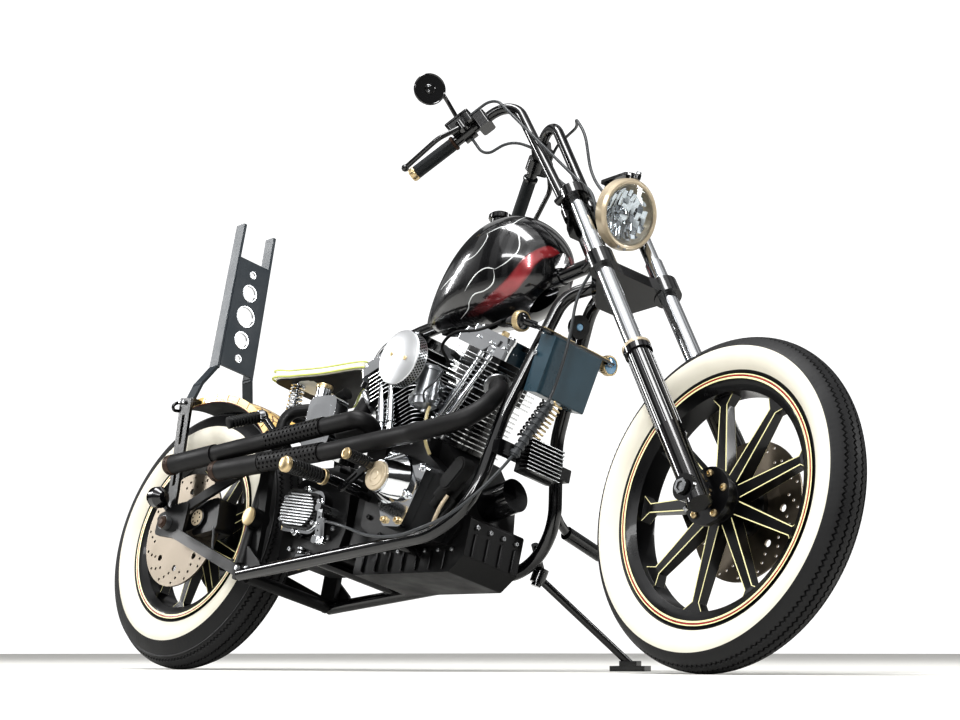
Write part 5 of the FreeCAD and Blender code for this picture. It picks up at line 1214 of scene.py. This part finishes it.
class CHOPPER_OT_gearbox(bpy.types.Operator):
    """Dresses the transmission's ribbed cover, the primary cover and the frame's caps"""

    bl_idname = "chopper.gearbox"
    bl_label = "Transmission and covers"

    def execute(self, context):
        along = Vector((0.985, 0, -0.12))
        up = Vector((0.12, 0, 0.985))
        cover = Piece()
        cover.pad(GEAR_COVER, along, -up, "gear_cover_foot", CHROME)
        cover.pad(GEAR_COVER - LEFT * 1.5, along, -up, "gear_cover_face", CHROME)
        for i in range(11):
            rise = (i - 5) * 7.2
            cover.pad(GEAR_COVER + up * rise - LEFT * 15.0, along, -up,
                      (122 - 0.034 * rise * rise, 3.6, 1.6, 4.6, 0.8), BUFFED)
        for a, b in turns(6, 0.5):
            spot = GEAR_COVER + along * (72 * a) + up * (52 * b)
            cover.rod(spot + LEFT * 20, spot - LEFT * 3, 9.0, CHROME, 20, 1.5)
            cover.bolt(spot - LEFT * 3, -LEFT, 6.0, 6.0, STEEL)
        for x, z in GEAR_SCREWS:
            cover.bolt(Vector((x, -92.2, z)), -LEFT, 6.0, 6.0, STEEL)
        stack = Vector((520, -100, 262))
        for k in range(4):
            drop = UP * (9 * k)
            cover.rod(stack - drop, stack - drop - UP * 6, 9.0 - k % 2 * 2, STEEL, 18, 1.0)
        cover.rod(stack - UP * 36, stack - UP * 52 + FORE * 6, 6.5, BRASS, 6, 1.0)
        cover.pad(Vector((566, -132, 226)), Vector((1, 0, -0.05)), -UP, "linkage_tab", CHROME)
        cover.make("gear_cover_trim")

        screws = Piece()
        for x, z in PRIMARY_SCREWS:
            screws.bolt(Vector((x, 156.2, z)), LEFT, 5.5, 6.0, STEEL)
        for x, z, reach, y in PRIMARY_RINGS:
            for a, b in turns(5, 0.5):
                screws.bolt(Vector((x + reach * a, y, z + reach * b)), LEFT, 3.6, 3.6, STEEL)
        screws.make("primary_screws")

        caps = Piece()
        for side in SIDES:
            out = LEFT * side
            caps.lathe("pivot_cap", Vector((371.0, side * 158.2, 326.0)), out, BRASS)
            for x, z in ((356, 204), (392, 200)):
                caps.lathe("plate_bolt", Vector((x, side * 144.2, z)), out, STEEL, 6)
            caps.lathe("axle_cap", REAR_AXLE + LEFT * (side * 142.2), out, "browned_steel", 24)
        caps.lathe("caliper_cap", REAR_CAP, -LEFT, BEIGE, 36)
        # Painted shade: flat black discs for the shadow in the cap's holes
        for out in circle(8):
            spot = REAR_CAP + out * 13.5 - LEFT * 2
            caps.rod(spot, spot - LEFT * 0.5, 2.4, PAINTED_SHADE, 10)
        caps.sweep(smooth_line(BRAKE_PIPE, 10), 3.2, "cable_cover", 10)
        caps.make("frame_caps")
        return {"FINISHED"}


class CHOPPER_OT_exhaust(bpy.types.Operator):
    """Browns the pipe tips and adds their holes, the flanges and their nuts"""

    bl_idname = "chopper.exhaust"
    bl_label = "Exhaust trim"

    def execute(self, context):
        piece = Piece()
        for ends in PIPE_TIPS:
            tip, _, line = bar_line(*ends)
            piece.lathe("pipe_tip", tip, line, "browned_steel", 48)
            # Painted shade: a flat black lining inside each pipe's bore and flat black studs in the
            # tip's holes, for the shadow there
            piece.lathe("pipe_bore", tip, line, PAINTED_SHADE, 32)
            for out in square_to(line, 10, 0.2):
                spot = tip + line * 9 + out * 24.6
                piece.rod(spot, spot + out * 0.7, 2.2, PAINTED_SHADE, 10)
        for side in SIDES:
            port = along_cylinder(side, HEAD_RISE + 26, side * 92, -52.0)
            root = along_cylinder(side, HEAD_RISE + 40, side * 50, -30.0)
            out = (port - root).normalized()
            piece.lathe("port_flange", port, out, STEEL)
            for k in SIDES:
                nut = port + cylinder_axes(side)[0] * (26 * k) + out * 6
                piece.bolt(nut, out, 5.5, 8.0, STEEL, 6)
        piece.make("exhaust_trim")
        return {"FINISHED"}


class CHOPPER_OT_front(bpy.types.Operator):
    """Dresses the front end: lamp facets, fork seals, clamp screws, grips and mirror"""

    bl_idname = "chopper.front"
    bl_label = "Front end dress"

    def execute(self, context):
        dress("headlamp_lens", "pressed_glass", 0.3)
        shell = NODES["headlamp"].data
        shell.materials.append(finish(BLACK))
        upright = TURNED.inverted()
        for polygon in shell.polygons:
            spot = upright @ polygon.center / MM - LAMP_FACE
            high = spot.dot(LAMP_AIM)
            if high < -BEZEL_DEPTH or (spot - LAMP_AIM * high).length > BEZEL_R:
                polygon.material_index = 1
        up = (UP - LAMP_AIM * UP.dot(LAMP_AIM)).normalized()
        lamp = Piece()
        cell = 0
        for col in range(-5, 6):
            for row in range(-4, 5):
                cell += 1
                y = col * LAMP_CELL[0]
                z = (row + 0.5 * (col % 2)) * LAMP_CELL[1]
                if math.hypot(y, z) > LAMP_BOWL_R:
                    continue
                tilt_y = ((cell * 37) % 11 - 5) * 0.055
                tilt_z = ((cell * 53) % 13 - 6) * 0.045
                ring = []
                for a, b in LAMP_CORNERS:
                    reach = math.hypot(y + a, z + b)
                    deep = -35.0 + 15.0 * (min(reach, 68) / 54) ** 2 + a * tilt_y + b * tilt_z
                    deep += 1.8 if a == 0 else 0.0
                    ring.append(LAMP_FACE + LEFT * (y + a) + up * (z + b) + LAMP_AIM * deep)
                lamp.skin([ring, [sum(ring, Vector()) / 6 + LAMP_AIM * 0.6]], CHROME, smooth=False)
        lamp.lathe("bulb_shield", LAMP_FACE, LAMP_AIM, CHROME, 24)
        lamp.lathe("bezel_bead", LAMP_FACE, LAMP_AIM, BEIGE, 72)
        screw = LAMP_FACE - LAMP_AIM * 12 + up * 82
        lamp.rod(screw, screw + up * 12, 7.0, BLACK, 16, 1.0)
        lamp.bolt(screw + up * 12, up, 6.0, 6.0, STEEL, 6)
        for k in SIDES:
            spot = LAMP_FACE - LAMP_AIM * 3 - up * 77 + LEFT * (k * 9)
            lamp.bolt(spot, LAMP_AIM, 3.4, 3.4, STEEL)
        lamp.make("lamp_facets", "steered_front_end")

        forks = Piece()
        for side in SIDES:
            forks.lathe("fork_seal", leg(side, 0), DOWN, BEIGE, 48)
            for out in circle(12, LEFT, AHEAD):
                top, foot = (leg(side, down) + out * 26.0 for down in SLIDER_RIBS)
                forks.rod(top, foot, 1.5, BLACK, 8, 0.6)
            for down in CLAMP_BOLTS:
                spot = fork_point(down, FORK_AHEAD - CLAMP_OUT, side * (FORK_HALF + CLAMP_OUT))
                forks.bolt(spot + AHEAD * 12, AHEAD, 6.5, 7.0, CHROME)
                forks.rod(spot + AHEAD * 12, spot + AHEAD * 13.5, 8.5, STEEL, 20, 0.4)
            forks.lathe("fork_cap", leg(side, FORK_CAP), DOWN, CHROME, 32)
            pinch = FRONT_AXLE + LEFT * (side * FORK_HALF) + DOWN * 24 - AHEAD * 26
            forks.bolt(pinch, -AHEAD, 5.5, 8.0, STEEL, 6)
        forks.lathe("stem_nut", fork_point(STEM_NUT, 0, 0), DOWN, CHROME, 6)
        hub = FRONT_AXLE - LEFT * AXLE_END
        # Painted shade: the axle's bore is closed with flat black for the shadow inside it
        forks.lathe("axle_bore", hub, -LEFT, PAINTED_SHADE, 32)
        forks.lathe("axle_nut", hub, -LEFT, STEEL, 6)
        forks.make("fork_trim", "steered_front_end")

        bars = Piece()
        for side, end_metal, collar_metal in ((-1, BRASS, "browned_steel"), (1, BLACK, BLACK)):
            end, _, line = bar_line((692.0, side * 162.0, 1172.0), (886.0, side * 61.0, 1366.0))
            bars.lathe("grip_end", end - line * 4, line, end_metal, 36)
            bars.lathe("grip_collar", end + line * 113, line, collar_metal, 36)
        hinge = MIRROR + MIRROR_BACK * 12
        bars.lathe("mirror_rim", MIRROR, MIRROR_BACK, BLACK, 48)
        bars.rod(MIRROR + MIRROR_BACK * 6, hinge, 12.0, BLACK, 24, 2.0)
        for out in square_to(MIRROR_BACK, 3, 0.4):
            bars.bolt(hinge + out * 7, MIRROR_BACK, 2.6, 2.0, CHROME)
        bars.make("grip_trim", "steered_front_end")
        return {"FINISHED"}


class CHOPPER_OT_fittings(bpy.types.Operator):
    """Adds the signals' rings and lenses, the horn's centre, the box's strip and the peg ends"""

    bl_idname = "chopper.fittings"
    bl_label = "Small fittings"

    def execute(self, context):
        front = Piece()
        aim = Vector((1, 0, -0.07)).normalized()
        for side, lens in ((-1, "smoked_lens"), (1, "signal_lens")):
            spot = Vector((BOX_X + 8, side * 141.0, 739.0))
            for out in circle(28, LEFT, UP):
                front.rod(spot - aim * 13 + out * 22.1, spot - aim * 1 + out * 22.1, 1.5, BRASS, 6)
            front.lathe("signal_ring", spot, aim, BRASS, 48)
            front.lathe("signal_glass", spot, aim, lens)
        strip = Vector((BOX_X + 36, 0.0, 736.6))
        aim = Vector((1, 0, -0.245)).normalized()
        for side in SIDES:
            front.pad(strip + LEFT * (side * 58), LEFT, aim, "box_strip", BRASS)
            # Painted shade: the strip's slots are flat black pads for the shadow inside them
            for k in (-1, 0, 1):
                spot = strip + LEFT * (side * 58 + k * 30) + UP * 1.2
                front.pad(spot, LEFT, aim, "strip_slot", PAINTED_SHADE)
        front.bolt(Vector((1156, -BOX_HALF - 3.4, 690)), -LEFT, 5.5, 4.0, STEEL)
        front.lathe("horn_eye", HORN, HORN_AIM, "signal_lens", 32)
        front.lathe("horn_dish", HORN, HORN_AIM, CASTING)
        for i in range(9):
            spot = Vector((REG_X + 28.2, 0, 434 + 8.5 * i))
            front.pad(spot, LEFT, UP, "regulator_fin", BUFFED)
        front.helix(Vector((1176, -34, 588)), Vector((1150, -62, 500)), 11.5, 2.6, 9, BLACK)
        front.helix(Vector((1186, -10, 592)), Vector((1158, -34, 506)), 10.5, 2.4, 9, BRASS)
        front.make("front_fittings")

        pegs = Piece()
        root, tip, line = bar_line((686, -207, 388), (687, -325, 381))
        pegs.lathe("peg_end", tip, line, BRASS)
        pegs.lathe("peg_collar", root, line, BRASS)
        pegs.ribs(root, line, 17.1, 0.8, 18, 8, 11, 32)
        root, tip, line = bar_line((821, -195, 416), (825, -270, 415))
        pegs.lathe("pedal_end", tip, line, BRASS, 32)
        pegs.ribs(tip, line, 13.1, 0.7, -12, -8, 7, 28)
        for side in SIDES:
            root, tip, line = bar_line((300, side * 134, 590), (276, side * 212, 546))
            pegs.lathe("hinge_ring", root, line, CHROME, 32)
            pegs.ribs(root, line, 14.1, 0.9, 20, 8, 8, 28)
            pegs.lathe("rear_peg_end", tip, line, RUBBER, 28)
        pegs.make("peg_trim")

        rear = Piece()
        up = Vector((-0.098, 0, 1)).normalized()
        ahead = LEFT.cross(up)
        for rise, radius in ((-118, 9), (-66, 20), (0, 26), (66, 20), (118, 9)):
            spot = Vector((-67.0, 0.0, FENDER_TOP + 262)) + up * rise
            bore = radius - 0.3
            rim = radius + (1.6 if radius < 12 else 3.2)
            rear.lathe(((bore, -3.6), (rim, -3.6), (rim, -3.0)), spot, ahead, "gunmetal_enamel", 48)
            rear.lathe(((bore, -3.4), (bore, 3.6), (rim, 3.7), (rim + 0.4, 2.9)), spot, ahead,
                       STEEL, 48)
        for side in SIDES:
            for x, z in ((-72, 662), (-88, 664)):
                rear.bolt(Vector((x, side * 114.2, z)), LEFT * side, 5.5, 6.0, STEEL, 6)
            rear.lathe("rear_signal_glass", Vector((-30.0, side * 150.0, 395.0)), -FORE,
                       "smoked_lens")
        rear.sweep(smooth_line(SIGNAL_LOOP), 4.2, BLACK, 10)
        rear.lathe("oil_cap", Vector((450, -85, 668)), UP, BRASS)
        for side in SIDES:
            spot = Vector((481, side * 104.2, 570))
            rear.pad(spot, FORE, UP * side, "oil_tank_panel", CHROME)
        rear.make("rear_fittings")
        return {"FINISHED"}


NODE_FINISHES = {
    "black_stove_enamel": (
        "triple_clamps", "fork_sliders", "handlebar", "hand_controls", "mirror", "backbone",
        "cradle_tubes", "fuel_cap", "oil_filter", "turn_signals", "horn", "foot_controls",
        "passenger_pegs", "side_stand", "stand_bracket"),
    "gunmetal_enamel": ("sissy_bar",),
    "cable_cover": ("control_cables", "clutch_cable"),
    "grip_vinyl": ("grips",),
    "painted_casting": (
        "front_wheel", "rear_wheel", "front_caliper", "rear_caliper", "cylinders", "regulator",
        "rear_pulley", "fender_struts"),
    "wrinkle_paint": ("crankcase", "transmission", "rear_frame"),
    "chrome_plate": (
        "rocker_boxes", "pushrod_tubes", "cam_cover", "air_cleaner", "primary_cover", "oil_tank",
        "clutch_linkage"),
    "hard_chrome_tube": ("fork_tubes",),
    "bare_cast_aluminium": ("carburettor",),
    "turned_disc_steel": ("front_disc", "rear_disc"),
    "plated_steel": ("front_axle", "rear_axle"),
    "heatproof_paint": ("exhaust_pipes", "heat_shields"),
    "moulded_rubber": ("drive_belt", "ignition_coil"),
    "beige_enamel": ("headlamp",),
    "slate_enamel": ("electrics_box",),
}
FLAT_NODES = ("front_disc", "rear_disc", "sissy_bar", "electrics_box")


class CHOPPER_OT_metalwork(bpy.types.Operator):
    """Gives the carried-over solids their finishes"""

    bl_idname = "chopper.metalwork"
    bl_label = "Finishes of the solids"

    def execute(self, context):
        for name, nodes in NODE_FINISHES.items():
            for node in nodes:
                dress(node, name, 0.0 if node in FLAT_NODES else BEVEL)
        return {"FINISHED"}


class CHOPPER_PT_panel(bpy.types.Panel):
    """Lists the pieces in the sidebar"""

    bl_label = "Chopper"
    bl_idname = "CHOPPER_PT_panel"
    bl_space_type = "VIEW_3D"
    bl_region_type = "UI"
    bl_category = "Chopper"

    def draw(self, context):
        for operator in OPERATORS:
            self.layout.operator(operator.bl_idname)
        for key in ("lens", "floor_size", "sky"):
            self.layout.prop(context.scene.chopper, key)


OPERATORS = (
    CHOPPER_OT_stage, CHOPPER_OT_metalwork, CHOPPER_OT_tyres, CHOPPER_OT_wheels, CHOPPER_OT_tank,
    CHOPPER_OT_fender, CHOPPER_OT_seat, CHOPPER_OT_engine, CHOPPER_OT_gearbox, CHOPPER_OT_exhaust,
    CHOPPER_OT_front, CHOPPER_OT_fittings)


def register():
    for item in (ChopperSettings,) + OPERATORS + (CHOPPER_PT_panel,):
        bpy.utils.register_class(item)
    bpy.types.Scene.chopper = PointerProperty(type=ChopperSettings)


def unregister():
    del bpy.types.Scene.chopper
    for item in (CHOPPER_PT_panel,) + OPERATORS[::-1] + (ChopperSettings,):
        bpy.utils.unregister_class(item)


def main():
    register()
    for operator in OPERATORS:
        group, name = operator.bl_idname.split(".")
        getattr(getattr(bpy.ops, group), name)()


if __name__ == "__main__":
    main()
